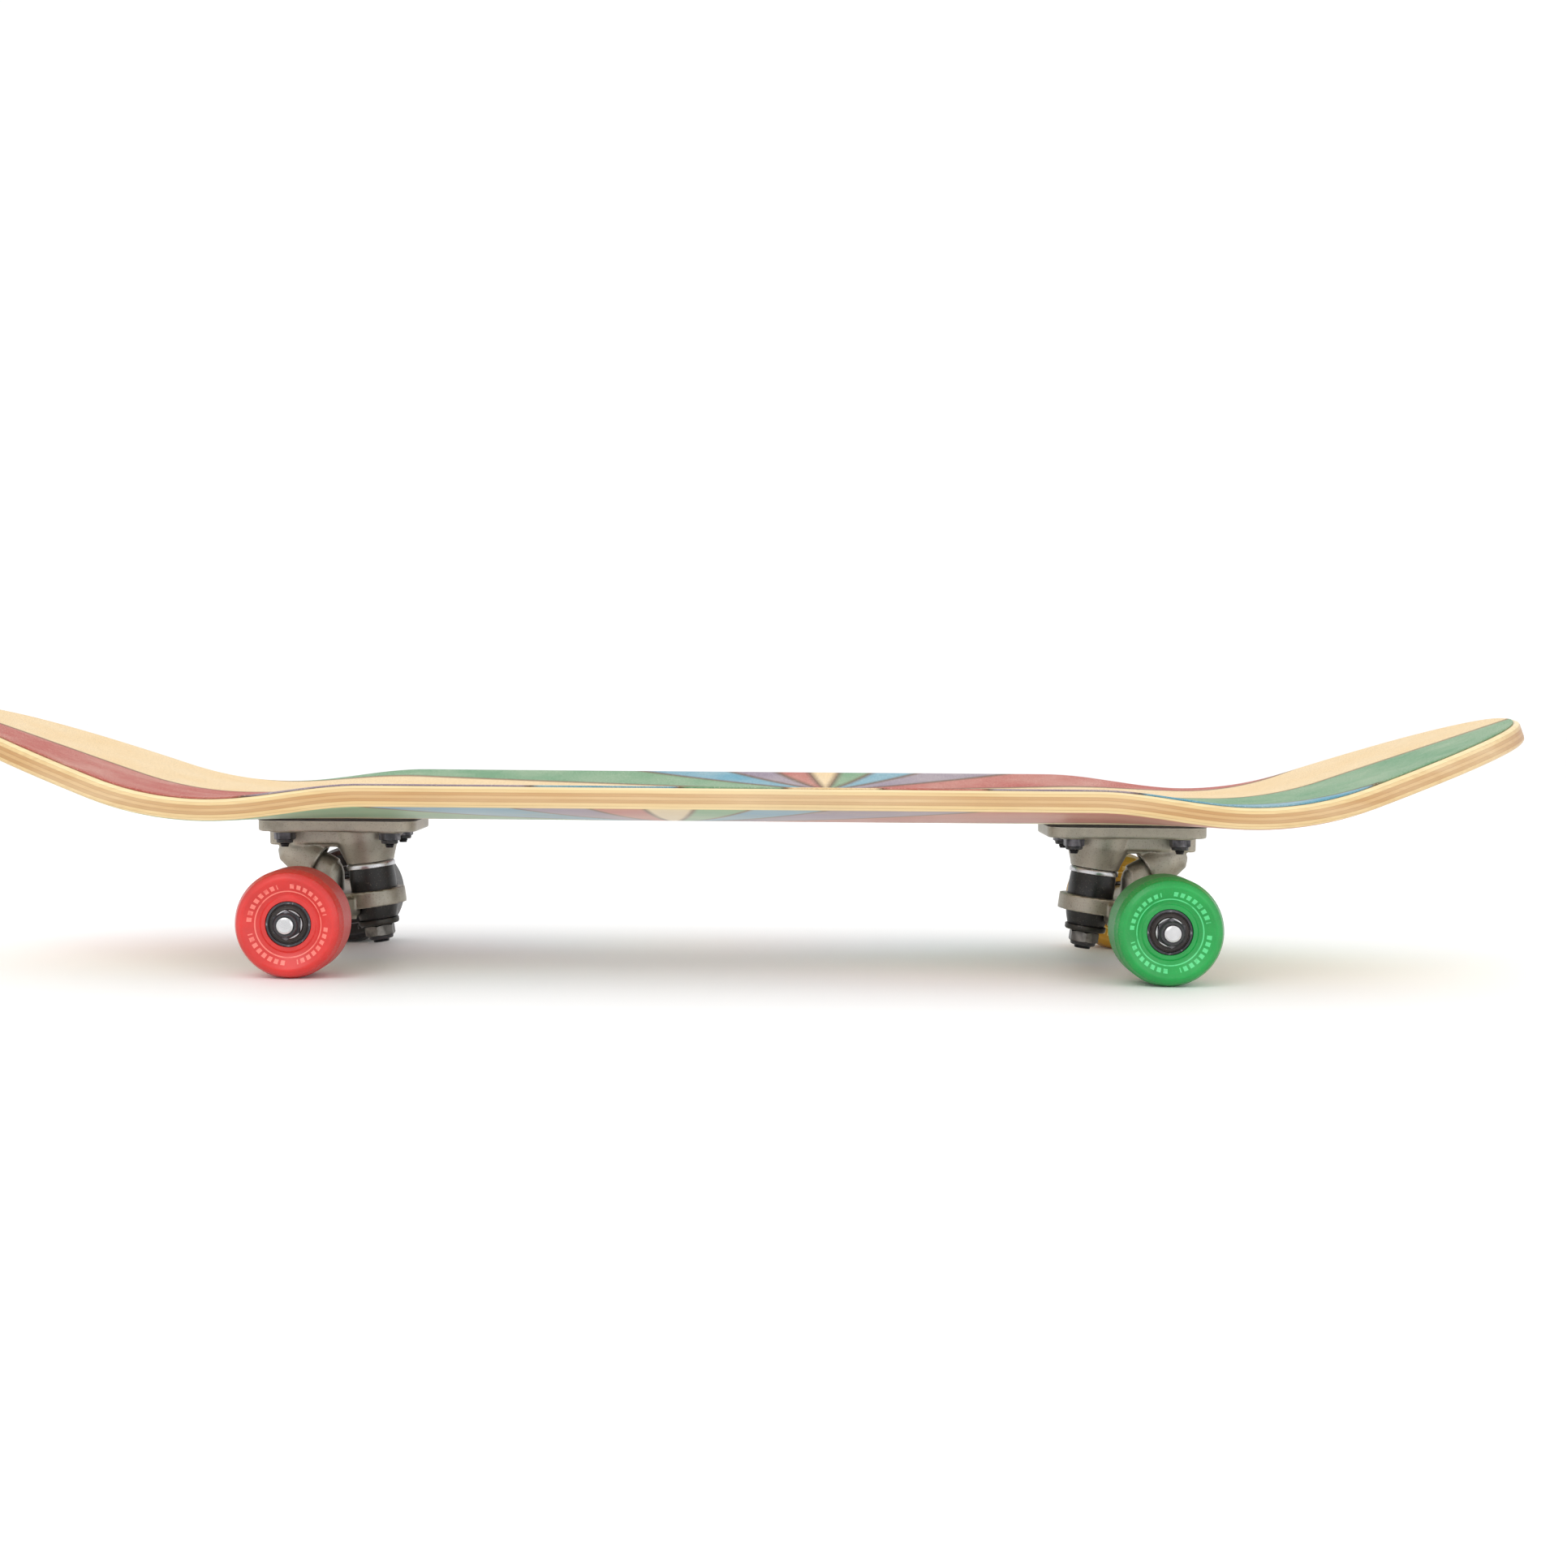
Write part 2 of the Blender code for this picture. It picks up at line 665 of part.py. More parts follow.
def axle():
    end = AXLE_LENGTH / 2
    radius = AXLE_DIAMETER / 2
    chamfer = 0.0006
    return turned(
        [
            (0.0, end),
            (radius - chamfer, end),
            (radius, end - chamfer),
            (radius, chamfer - end),
            (radius - chamfer, -end),
            (0.0, -end),
        ],
        SMALL_STEPS,
        AXLE_FRAME,
    )


# Wheel pieces, around the wheel's own centre with z along the axle and outwards


def wheel():
    """A one-piece urethane wheel with a bearing seat in each side."""
    seat = BEARING_RADIUS + 0.0002
    seat_floor = SPACER_LENGTH / 2 - GAP
    half = [
        (0.0140, WHEEL_CORE_WIDTH / 2),
        (0.0222, WHEEL_WIDTH / 2),
        (0.0250, WHEEL_WIDTH / 2 - 0.0021),
        (WHEEL_RADIUS, WHEEL_TREAD_WIDTH / 2),
    ]
    outside = [(seat, WHEEL_CORE_WIDTH / 2)] + half
    outside += [(radius, -height) for radius, height in reversed(outside)]
    inside = [(seat, -seat_floor), (0.0080, -seat_floor), (0.0080, seat_floor), (seat, seat_floor)]
    return turned(outside + inside, WHEEL_STEPS, ring=True)


def bearing():
    half = BEARING_WIDTH / 2
    return washer(BEARING_RADIUS, BEARING_BORE / 2, -half, half, BEARING_STEPS)


def build_wheels(label, side, steering):
    """Wheels, bearings, nuts and speed washers of one truck."""
    wheel_mesh = wheel()
    bearing_mesh = bearing()
    axle_centre = Matrix.Translation(Vector((0.0, 0.0, AXLE_HEIGHT)) - RING_CENTRE)
    bearing_offset = (SPACER_LENGTH + BEARING_WIDTH) / 2
    washer_low = WHEEL_OFFSET + bearing_offset + BEARING_WIDTH / 2 + GAP
    washer_high = washer_low + SPEED_WASHER_THICKNESS
    bore = AXLE_DIAMETER / 2 + HOLE_PLAY
    washer_mesh = washer(0.0070, bore, washer_low, washer_high, SMALL_STEPS)
    nut_low = washer_high + GAP
    nut_high = nut_low + AXLE_NUT_HEIGHT
    nut_mesh = combined(
        hexagon(AXLE_NUT_ACROSS_FLATS, nut_low, nut_high),
        cuts=[bar(bore, nut_low - 0.002, nut_high + 0.002, SMALL_STEPS)],
    )
    for hand, world_y in (("left", 1), ("right", -1)):
        corner = f"{label}_{hand}"
        outward = Vector((0.0, world_y * side, 0.0))
        hub = axle_centre @ along(Vector(), outward)
        wheel_spot = hub @ Matrix.Translation((0.0, 0.0, WHEEL_OFFSET))
        turning = place(f"wheel_{corner}", wheel_mesh, WHEEL_COLOURS[corner], wheel_spot, steering)
        for name, offset in (("inner", -bearing_offset), ("outer", bearing_offset)):
            spot = Matrix.Translation((0.0, 0.0, offset))
            place(f"bearing_{corner}_{name}", bearing_mesh, "bearing_black", spot, turning)
        place(f"speed_washer_{corner}", washer_mesh, "bright_steel", hub, steering)
        place(f"axle_nut_{corner}", nut_mesh, "black_steel", hub, steering)


def build_truck(label, side):
    """One truck, placed under its end of the deck with its kingpin towards the middle."""
    turn = Matrix.Rotation(0.0 if side > 0 else pi, 4, "Z")
    truck = frame(f"{label}_truck", Matrix.Translation((side * AXLE_SPACING / 2, 0.0, 0.0)) @ turn)
    steering = frame(f"{label}_steering", Matrix.Translation(RING_CENTRE), truck)
    to_steering = Matrix.Translation(-RING_CENTRE)

    place(f"riser_pad_{label}", riser_pad(), "riser_plastic", parent=truck)
    place(f"baseplate_{label}", baseplate(), "cast_aluminium", parent=truck)
    place(f"pivot_cup_{label}", pivot_cup(), "pivot_urethane", parent=truck)
    place(f"kingpin_{label}", kingpin(), "black_steel", parent=truck)
    place(f"kingpin_nut_{label}", kingpin_nut(), "bright_steel", parent=truck)
    upper = bushing(UPPER_BUSHING_BOTTOM, UPPER_BUSHING_TOP, BUSHING_RADIUS)
    place(f"bushing_upper_{label}", upper, "bushing_urethane", parent=truck)
    lower = bushing(LOWER_BUSHING_BOTTOM, -UPPER_BUSHING_BOTTOM, 0.0095)
    place(f"bushing_lower_{label}", lower, "bushing_urethane", parent=truck)
    upper_washer = cup_washer(UPPER_BUSHING_TOP + GAP)
    place(f"washer_upper_{label}", upper_washer, "bright_steel", parent=truck)
    lower_washer = cup_washer(LOWER_WASHER_BOTTOM)
    place(f"washer_lower_{label}", lower_washer, "bright_steel", parent=truck)

    place(f"hanger_{label}", hanger(), "cast_aluminium", to_steering, steering)
    place(f"axle_{label}", axle(), "bright_steel", to_steering, steering)
    build_wheels(label, side, steering)


build_deck()
build_deck_hardware()
build_truck("front", 1)
build_truck("rear", -1)
bpy.context.view_layer.update()
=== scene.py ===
import json
from math import ceil, cos, pi, radians, sin, sqrt, tan

import bmesh
import bpy
import numpy as np
from mathutils import Matrix, Vector


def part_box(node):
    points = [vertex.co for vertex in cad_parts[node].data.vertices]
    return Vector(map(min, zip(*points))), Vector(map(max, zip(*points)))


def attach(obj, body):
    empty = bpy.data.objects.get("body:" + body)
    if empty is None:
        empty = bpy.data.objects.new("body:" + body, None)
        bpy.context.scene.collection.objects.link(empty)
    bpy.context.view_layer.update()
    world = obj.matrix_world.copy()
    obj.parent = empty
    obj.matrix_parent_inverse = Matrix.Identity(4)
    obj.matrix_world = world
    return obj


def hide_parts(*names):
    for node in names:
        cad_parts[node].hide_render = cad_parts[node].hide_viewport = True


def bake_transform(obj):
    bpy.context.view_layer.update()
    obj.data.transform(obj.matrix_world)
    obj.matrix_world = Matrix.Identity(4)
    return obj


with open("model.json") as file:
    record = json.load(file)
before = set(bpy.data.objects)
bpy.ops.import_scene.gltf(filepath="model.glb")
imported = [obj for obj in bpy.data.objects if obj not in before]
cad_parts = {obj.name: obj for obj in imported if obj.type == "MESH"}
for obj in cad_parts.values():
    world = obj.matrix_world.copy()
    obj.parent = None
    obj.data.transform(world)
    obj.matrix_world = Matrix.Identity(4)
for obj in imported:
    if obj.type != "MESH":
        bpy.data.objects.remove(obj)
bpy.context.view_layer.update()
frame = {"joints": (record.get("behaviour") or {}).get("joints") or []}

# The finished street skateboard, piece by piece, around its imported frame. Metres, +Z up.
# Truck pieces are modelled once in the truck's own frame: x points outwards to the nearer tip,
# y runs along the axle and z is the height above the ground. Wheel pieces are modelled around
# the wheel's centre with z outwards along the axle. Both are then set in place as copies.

ENDS = {"front": 1, "rear": -1}
HANDS = {"left": 1, "right": -1}
CORNERS = [f"{end}_{hand}" for end in ENDS for hand in HANDS]

# Deck, measured over its top face
DECK_LENGTH = 0.803
DECK_WIDTH = 0.2025
DECK_THICKNESS = 0.0105
DECK_TOP = 0.085
UNDERSIDE = DECK_TOP - DECK_THICKNESS
CONCAVE_RISE = 0.0095
CONCAVE_POWER = 1.6
KICK_CONCAVE_RISE = 0.0020
CONCAVE_FADE_START = 0.175
FLAT_SHARE = 0.28
KICK_START = 0.250
KICK_RADIUS = 0.165
KICK_ANGLE = radians(20.0)
NOSE_LENGTH = 0.211
NOSE_ROUNDNESS = 2.35
SPINE_SHARE = 0.72
RIM_ROUNDING = 0.0023
PLY_COUNT = 7
GRIP_INSET = 0.0026
GRIP_LIFT = 0.00005
GRIP_THICKNESS = 0.00095

# Running gear, read from the frame
WHEEL_BOXES = {corner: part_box(f"wheel_{corner}") for corner in CORNERS}
WHEEL_CENTRES = {corner: (low + high) / 2 for corner, (low, high) in WHEEL_BOXES.items()}
AXLE_X = WHEEL_CENTRES["front_left"].x
AXLE_HEIGHT = WHEEL_CENTRES["front_left"].z
WHEEL_RADIUS = AXLE_HEIGHT
WHEEL_OFFSET = WHEEL_CENTRES["front_left"].y
WHEEL_WIDTH = WHEEL_BOXES["front_left"][1].y - WHEEL_BOXES["front_left"][0].y
STEER_JOINT = next(joint for joint in frame["joints"] if joint["name"] == "front_steer")
RING_CENTRE = Vector(STEER_JOINT["pos_m"]) - Vector((AXLE_X, 0.0, 0.0))
STEER_DIRECTION = Vector(STEER_JOINT["axis"]).normalized()
NOSE_TIP = 0.04468
PIVOT_MOUTH = NOSE_TIP - 0.0085
PIVOT_FLOOR = NOSE_TIP + 0.0028
KINGPIN_LEAN = radians(8.0)
KINGPIN_DIRECTION = Vector((sin(KINGPIN_LEAN), 0.0, cos(KINGPIN_LEAN)))

AXLE_RADIUS = 0.00395
AXLE_END = 0.0990
HANGER_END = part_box("hanger_front")[1].y
BEARING_RADIUS = 0.0110
BEARING_HALF = 0.0035
BEARING_OFFSET = 0.0088
BEARING_FACE = BEARING_OFFSET + BEARING_HALF

# Kingpin stack, measured along the kingpin from the middle of the hanger's ring
BUSHING_RADIUS = 0.0120
RING_HALF = 0.0040
# Each bushing has a washer end and a ring end. Its bend marks a stretch along the kingpin, listed but
# not used.
UPPER_BUSHING = (0.0168, 0.0023)
UPPER_BUSHING_RADII = (0.0116, 0.0118)
UPPER_BEND = (0.0151, 0.0042)
LOWER_BUSHING = (-0.0123, -0.0023)
LOWER_BUSHING_RADII = (0.0092, 0.0118)
LOWER_BEND = (-0.0106, -0.0042)
BUSHING_WIDE_BORE = 0.0061
PEDESTAL_SEAT = 0.0189
KINGPIN_NUT = (-0.0219, -0.0144)
KINGPIN_END = -0.0234
KINGPIN_HEAD = (0.0344, 0.0400)
KINGPIN_RADIUS = 0.0047
KINGPIN_FLATS = 0.0142

# Baseplate and its hardware
PLATE_LOW, PLATE_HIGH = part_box("baseplate_front")
PLATE_TOP = PLATE_HIGH.z
PLATE_X = (PLATE_LOW.x + PLATE_HIGH.x) / 2 - AXLE_X
PLATE_LENGTH = PLATE_HIGH.x - PLATE_LOW.x
PLATE_WIDTH = PLATE_HIGH.y - PLATE_LOW.y
PLATE_CORNER = 0.009
FLANGE_BOTTOM = PLATE_TOP - 0.0055
BOLT_SPREAD = (0.0539 / 2, 0.0413 / 2)
BOLT_RADIUS = 0.0024
BOLT_HEAD_RADIUS = 0.0046
BOLT_TIP = 0.0590
BOLT_TOP = DECK_TOP + 0.0006
LOCK_NUT_FLATS = 0.0095
LOCK_NUT_HEIGHT = 0.0042
LOCK_NUT_COLLAR = 0.0058
# How far each bolt is turned, in radians for each metre along and across, so that no two match
BOLT_TURNS = (radians(3330.0), 30.0, 0.0)

BOLT_SPOTS = {
    f"{end}_{number + 1}": Vector(
        (
            side * (AXLE_X + PLATE_X + (-1, -1, 1, 1)[number] * BOLT_SPREAD[0]),
            (-1, 1, -1, 1)[number] * BOLT_SPREAD[1],
            0.0,
        )
    )
    for end, side in ENDS.items()
    for number in range(4)
}

# Facets, the distance under which points merge, and how castings are welded
WHEEL_STEPS = 128
PART_STEPS = 64
SMALL_STEPS = 40
OUTLINE_STEPS = 320
CLOSE = 0.000002
CAST_GRAIN = 0.00062
CAST_SOFTENING = 7

# Room left between pieces
THREAD_GAP = 0.00005
SNUG_GAP = 0.0001
SLIP_GAP = 0.0002


# Bench tools: starting, selecting, turning, cutting and placing


def deselect():
    if bpy.context.object and bpy.context.object.mode != "OBJECT":
        bpy.ops.object.mode_set(mode="OBJECT")
    bpy.ops.object.select_all(action="DESELECT")


def hold(piece):
    """Makes one piece the only selected one."""
    deselect()
    piece.select_set(True)
    bpy.context.view_layer.objects.active = piece


def start_editing(piece):
    hold(piece)
    bpy.context.tool_settings.mesh_select_mode = (True, False, False)
    bpy.ops.object.mode_set(mode="EDIT")
    bpy.ops.mesh.select_all(action="SELECT")


def stop_editing():
    bpy.ops.object.mode_set(mode="OBJECT")


def pick(piece, kind, wanted):
    """Selects the piece's verts, edges or faces that pass a test, while it is being edited."""
    modes = {"verts": (True, False, False), "edges": (False, True, False)}
    bpy.context.tool_settings.mesh_select_mode = modes.get(kind, (False, False, True))
    bpy.ops.mesh.select_all(action="DESELECT")
    shape = bmesh.from_edit_mesh(piece.data)
    for item in getattr(shape, kind):
        if wanted(item):
            item.select_set(True)
    shape.select_flush_mode()
    bmesh.update_edit_mesh(piece.data)


def shaped(piece, kind, **settings):
    """Adds one modifier and applies it."""
    hold(piece)
    step = piece.modifiers.new(kind.title(), kind)
    for setting, value in settings.items():
        setattr(step, setting, value)
    bpy.ops.object.modifier_apply(modifier=step.name)
    return piece


def joined(pieces):
    """Makes several pieces one object."""
    deselect()
    for piece in pieces:
        piece.select_set(True)
    bpy.context.view_layer.objects.active = pieces[0]
    if len(pieces) > 1:
        bpy.ops.object.join()
    return pieces[0]


def carve(piece, *cutters, operation="DIFFERENCE"):
    """Cuts the piece by each cutter in turn, and clears the cutters away."""
    for cutter in cutters:
        shaped(piece, "BOOLEAN", operation=operation, object=cutter, solver="EXACT")
        bpy.data.objects.remove(cutter)
    return piece


def along(origin, direction):
    """A frame at origin whose z runs along direction."""
    z = direction.normalized()
    y = Vector((0.0, 1.0, 0.0)) if abs(z.y) < 0.5 else Vector((0.0, 0.0, 1.0))
    x = y.cross(z).normalized()
    return Matrix.Translation(origin) @ Matrix((x, z.cross(x), z)).transposed().to_4x4()


def rounded(corners, segments=5):
    """Profile points from (radius, height, rounding) corners, with each rounding as an arc."""
    points = []
    for number, (radius, height, rounding) in enumerate(corners):
        here = Vector((radius, height))
        if not rounding:
            points.append(here)
            continue
        before = Vector(corners[number - 1][:2]) - here
        after = Vector(corners[(number + 1) % len(corners)][:2]) - here
        half = before.angle(after) / 2
        bisector = (before.normalized() + after.normalized()).normalized()
        centre = here + bisector * rounding / sin(half)
        first = here + before.normalized() * rounding / tan(half) - centre
        last = here + after.normalized() * rounding / tan(half) - centre
        sweep = first.angle(last)
        for step in range(segments + 1):
            share = step / segments
            spoke = first * sin((1 - share) * sweep) + last * sin(share * sweep)
            points.append(centre + spoke / sin(sweep))
    return points


def close_points(points, longest):
    """The same closed profile with no gap between its points longer than this."""
    filled = []
    for here, after in zip(points, [*points[1:], points[0]]):
        count = max(1, ceil((after - here).length / longest))
        filled += [here.lerp(after, step / count) for step in range(count)]
    return filled


def threads(radius, high, low, pitch, depth):
    """Profile points of a thread's crests and roots, running down a shank."""
    points = []
    turns = int((high - low) / pitch)
    for turn in range(turns):
        crest = high - turn * pitch
        points.append(Vector((radius, crest)))
        points.append(Vector((radius, crest - pitch * 0.2)))
        points.append(Vector((radius - depth, crest - pitch * 0.55)))
    return points


def turned(name, points, steps=PART_STEPS, matrix=None, ring=False):
    """A piece turned about Z: one point extruded along the profile, then spun round."""
    path = list(points) + ([points[0]] if ring else [])
    deselect()
    bpy.ops.mesh.primitive_plane_add(size=0.001)
    piece = bpy.context.object
    piece.name = name
    start_editing(piece)
    bpy.ops.mesh.merge(type="CENTER")
    bpy.ops.transform.translate(value=(path[0][0], 0.0, path[0][1]))
    for before, after in zip(path, path[1:]):
        move = (after[0] - before[0], 0.0, after[1] - before[1])
        bpy.ops.mesh.extrude_region_move(TRANSFORM_OT_translate={"value": move})
    bpy.ops.mesh.select_all(action="SELECT")
    bpy.ops.mesh.spin(steps=steps, angle=2 * pi, center=(0.0, 0.0, 0.0), axis=(0.0, 0.0, 1.0))
    bpy.ops.mesh.select_all(action="SELECT")
    bpy.ops.mesh.remove_doubles(threshold=CLOSE)
    bpy.ops.mesh.normals_make_consistent(inside=False)
    stop_editing()
    piece.data.transform(matrix or Matrix.Identity(4))
    return piece


def rod(radius, low, high, steps=PART_STEPS, matrix=None):
    """A plain turned bar, used as a drill or as stock for a casting."""
    points = [Vector((0.0, high)), Vector((radius, high)), Vector((radius, low)), Vector((0.0, low))]
    return turned("rod", points, steps, matrix)


def slab(name, low, high, corner=0.0, edge=0.0, segments=6):
    """A block between two opposite corners, its upright edges and then its rims rounded."""
    low, high = Vector(low), Vector(high)
    deselect()
    bpy.ops.mesh.primitive_cube_add(size=1.0, location=(low + high) / 2, scale=high - low)
    piece = bpy.context.object
    piece.name = name
    bpy.ops.object.transform_apply(location=True, rotation=True, scale=True)
    start_editing(piece)
    if corner:
        pick(piece, "edges", lambda e: abs(e.verts[0].co.z - e.verts[1].co.z) > CLOSE)
        bpy.ops.mesh.bevel(offset=corner, segments=segments, affect="EDGES")
    if edge:
        pick(piece, "edges", lambda e: e.is_boundary or e.calc_face_angle(0.0) > radians(60.0))
        bpy.ops.mesh.bevel(offset=edge, segments=3, affect="EDGES")
    stop_editing()
    return piece


def hexagon(name, flats, low, high):
    """Hexagonal bar with its corners turned back at both ends."""
    deselect()
    bpy.ops.mesh.primitive_cylinder_add(
        vertices=6, radius=flats / sqrt(3.0), depth=high - low, location=(0.0, 0.0, (high + low) / 2)
    )
    piece = bpy.context.object
    piece.name = name
    bpy.ops.object.transform_apply(location=True, rotation=True, scale=True)
    face = flats * 0.47
    corner = flats * 0.60
    slope = tan(radians(28.0))
    drop = (corner - face) * slope
    spare = 0.001
    tip = face - spare / slope
    barrel = turned(
        "barrel",
        [
            Vector((0.0, high + spare)),
            Vector((tip, high + spare)),
            Vector((corner, high - drop)),
            Vector((corner, low + drop)),
            Vector((tip, low - spare)),
            Vector((0.0, low - spare)),
        ],
        SMALL_STEPS,
    )
    return carve(piece, barrel, operation="INTERSECT")


def cast(name, parts):
    """Welds overlapping shapes into one casting and fills its inner corners."""
    piece = joined(parts)
    piece.name = name
    shaped(piece, "REMESH", mode="VOXEL", voxel_size=CAST_GRAIN)
    shaped(piece, "SMOOTH", factor=0.5, iterations=CAST_SOFTENING)
    return piece


def smooth(piece, angle=32.0):
    hold(piece)
    bpy.ops.object.shade_smooth_by_angle(angle=radians(angle))
    return piece


def dress(piece, finish, slot, body, *nodes):
    """Gives a piece in place its finish, the body it rides on, if any, and the nodes it stands for."""
    piece.data.name = piece.name
    piece.data.materials.clear()
    piece.data.materials.append(finish)
    if body:
        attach(piece, body)
    if nodes:
        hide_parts(*nodes)
    return piece


def set_copy(model, name, matrix, finish, slot, body, *nodes):
    """Sets a copy of a modelled piece in place, with a mesh of its own."""
    piece = model.copy()
    piece.data = model.data.copy()
    piece.name = name
    bpy.context.scene.collection.objects.link(piece)
    piece.data.transform(matrix)
    return dress(piece, finish, slot, body, *nodes)


def truck_matrix(end):
    side = ENDS[end]
    turn = Matrix.Rotation(0.0 if side > 0 else pi, 4, "Z")
    return Matrix.Translation((side * AXLE_X, 0.0, 0.0)) @ turn


def hub_matrix(corner):
    """The wheel's frame, with z outwards along the axle."""
    hand = corner.split("_")[1]
    return along(WHEEL_CENTRES[corner], Vector((0.0, HANDS[hand], 0.0)))


KINGPIN_FRAME = along(RING_CENTRE, KINGPIN_DIRECTION)
STEER_FRAME = along(RING_CENTRE, STEER_DIRECTION)
AXLE_FRAME = along(Vector((0.0, 0.0, AXLE_HEIGHT)), Vector((0.0, 1.0, 0.0)))


# Finishes: small node-building tools, the shared effects, then one function for each finish


def paint(code):
    """A linear colour from a six-figure hex code."""
    channels = [int(code[i : i + 2], 16) / 255 for i in (0, 2, 4)]
    linear = [c / 12.92 if c <= 0.04045 else ((c + 0.055) / 1.055) ** 2.4 for c in channels]
    return (*linear, 1.0)


def feed(tree, socket, value):
    if isinstance(value, bpy.types.NodeSocket):
        tree.links.new(value, socket)
    else:
        socket.default_value = value


def node(tree, kind, inputs=None, **settings):
    made = tree.nodes.new("ShaderNode" + kind)
    for setting, value in settings.items():
        setattr(made, setting, value)
    for socket, value in (inputs or {}).items():
        feed(tree, made.inputs[socket], value)
    return made


def maths(tree, operation, *values):
    made = node(tree, "Math", operation=operation)
    for number, value in enumerate(values):
        feed(tree, made.inputs[number], value)
    return made.outputs[0]


def times(tree, first, second):
    return maths(tree, "MULTIPLY", first, second)


def length(tree, first, second):
    """How far a place is from a centre, from its two distances along the axes."""
    squares = maths(tree, "ADD", times(tree, first, first), times(tree, second, second))
    return maths(tree, "SQRT", squares)


def spread(tree, value, low, high, to_low=0.0, to_high=1.0):
    """Maps a value from one range to another, held inside it."""
    limits = {"Value": value, "From Min": low, "From Max": high, "To Min": to_low, "To Max": to_high}
    return node(tree, "MapRange", limits, clamp=True).outputs[0]


def mixed(tree, factor, first, second, mode="MIX"):
    made = node(tree, "Mix", data_type="RGBA", blend_type=mode)
    for number, value in ((0, factor), (6, first), (7, second)):
        feed(tree, made.inputs[number], value)
    return made.outputs[2]


def tinted(tree, colour, share, code):
    """A colour turned towards a second one, given as its hex code, by a share."""
    return mixed(tree, share, colour, paint(code))


def bands(tree, value, stops, interpolation="LINEAR"):
    """A colour ramp from (place, colour) stops."""
    made = node(tree, "ValToRGB", {"Fac": value})
    made.color_ramp.interpolation = interpolation
    elements = made.color_ramp.elements
    elements.remove(elements[1])
    elements[0].position = stops[0][0]
    elements[0].color = stops[0][1]
    for place, colour in stops[1:]:
        elements.new(place).color = colour
    return made.outputs[0]


def place_on_piece(tree, centre=(0.0, 0.0, 0.0), stretch=(1.0, 1.0, 1.0)):
    """Object coordinates moved to a centre and stretched."""
    position = node(tree, "TexCoord").outputs["Object"]
    moved = node(tree, "VectorMath", {0: position, 1: centre}, operation="SUBTRACT").outputs[0]
    return node(tree, "VectorMath", {0: moved, 1: stretch}, operation="MULTIPLY").outputs[0]


def cloud(tree, vector, scale, detail=3.0, roughness=0.55):
    inputs = {"Vector": vector, "Scale": scale, "Detail": detail, "Roughness": roughness}
    return node(tree, "TexNoise", inputs).outputs[0]


def new_effect(name, inputs, outputs):
    """An empty node group with named sockets."""
    group = bpy.data.node_groups.new(name, "ShaderNodeTree")
    for label, value in inputs.items():
        kind = "NodeSocketFloat" if isinstance(value, float) else "NodeSocketVector"
        socket = group.interface.new_socket(label, in_out="INPUT", socket_type=kind)
        socket.default_value = value
    for label in outputs:
        group.interface.new_socket(label, in_out="OUTPUT", socket_type="NodeSocketFloat")
    return group, group.nodes.new("NodeGroupInput"), group.nodes.new("NodeGroupOutput")


def effect(tree, group, **inputs):
    """Places a shared effect in a finish with its own values."""
    made = node(tree, "Group", node_tree=group)
    for label, value in inputs.items():
        feed(tree, made.inputs[label.replace("_", " ")], value)
    return made.outputs


RAY_COLOURS = 5
RAY_ANGLE = radians(18.0)
FIRST_RAY_ANGLE = radians(99.0)
RAY_WAVER = 0.006
SEAM_SOFTNESS = 0.3


def ray_effect():
    """Twenty equal rays round a point: which of five colours a place has, and the dark seams."""
    group, given, out = new_effect(
        "rays", {"Centre": (0.0, 0.0, 0.0), "Seam Width": 0.0008, "Hand": 1.0}, ("Band", "Seam")
    )
    position = node(group, "TexCoord").outputs["Object"]
    moved = node(group, "VectorMath", {0: position, 1: given.outputs[0]}, operation="SUBTRACT")
    parts = node(group, "SeparateXYZ", {0: moved.outputs[0]})
    x, y = parts.outputs[0], times(group, parts.outputs[1], given.outputs[2])
    off_middle = maths(group, "SUBTRACT", cloud(group, position, 24.0), 0.5)
    waver = times(group, off_middle, RAY_WAVER)
    angle = maths(group, "ADD", maths(group, "ARCTAN2", y, x), waver)
    turn = maths(group, "SUBTRACT", FIRST_RAY_ANGLE, angle)
    band = maths(group, "FRACT", maths(group, "DIVIDE", turn, RAY_ANGLE * RAY_COLOURS))
    within = maths(group, "FRACT", times(group, band, float(RAY_COLOURS)))
    nearer = maths(group, "MINIMUM", within, maths(group, "SUBTRACT", 1.0, within))
    radius = length(group, x, y)
    distance = times(group, times(group, nearer, RAY_ANGLE), radius)
    seam_widths = maths(group, "DIVIDE", distance, given.outputs[1])
    clear = maths(group, "SMOOTH_MIN", seam_widths, 1.0, SEAM_SOFTNESS)
    seam = maths(group, "SUBTRACT", 1.0, clear)
    feed(group, out.inputs["Band"], band)
    feed(group, out.inputs["Seam"], maths(group, "MAXIMUM", seam, 0.0))
    return group


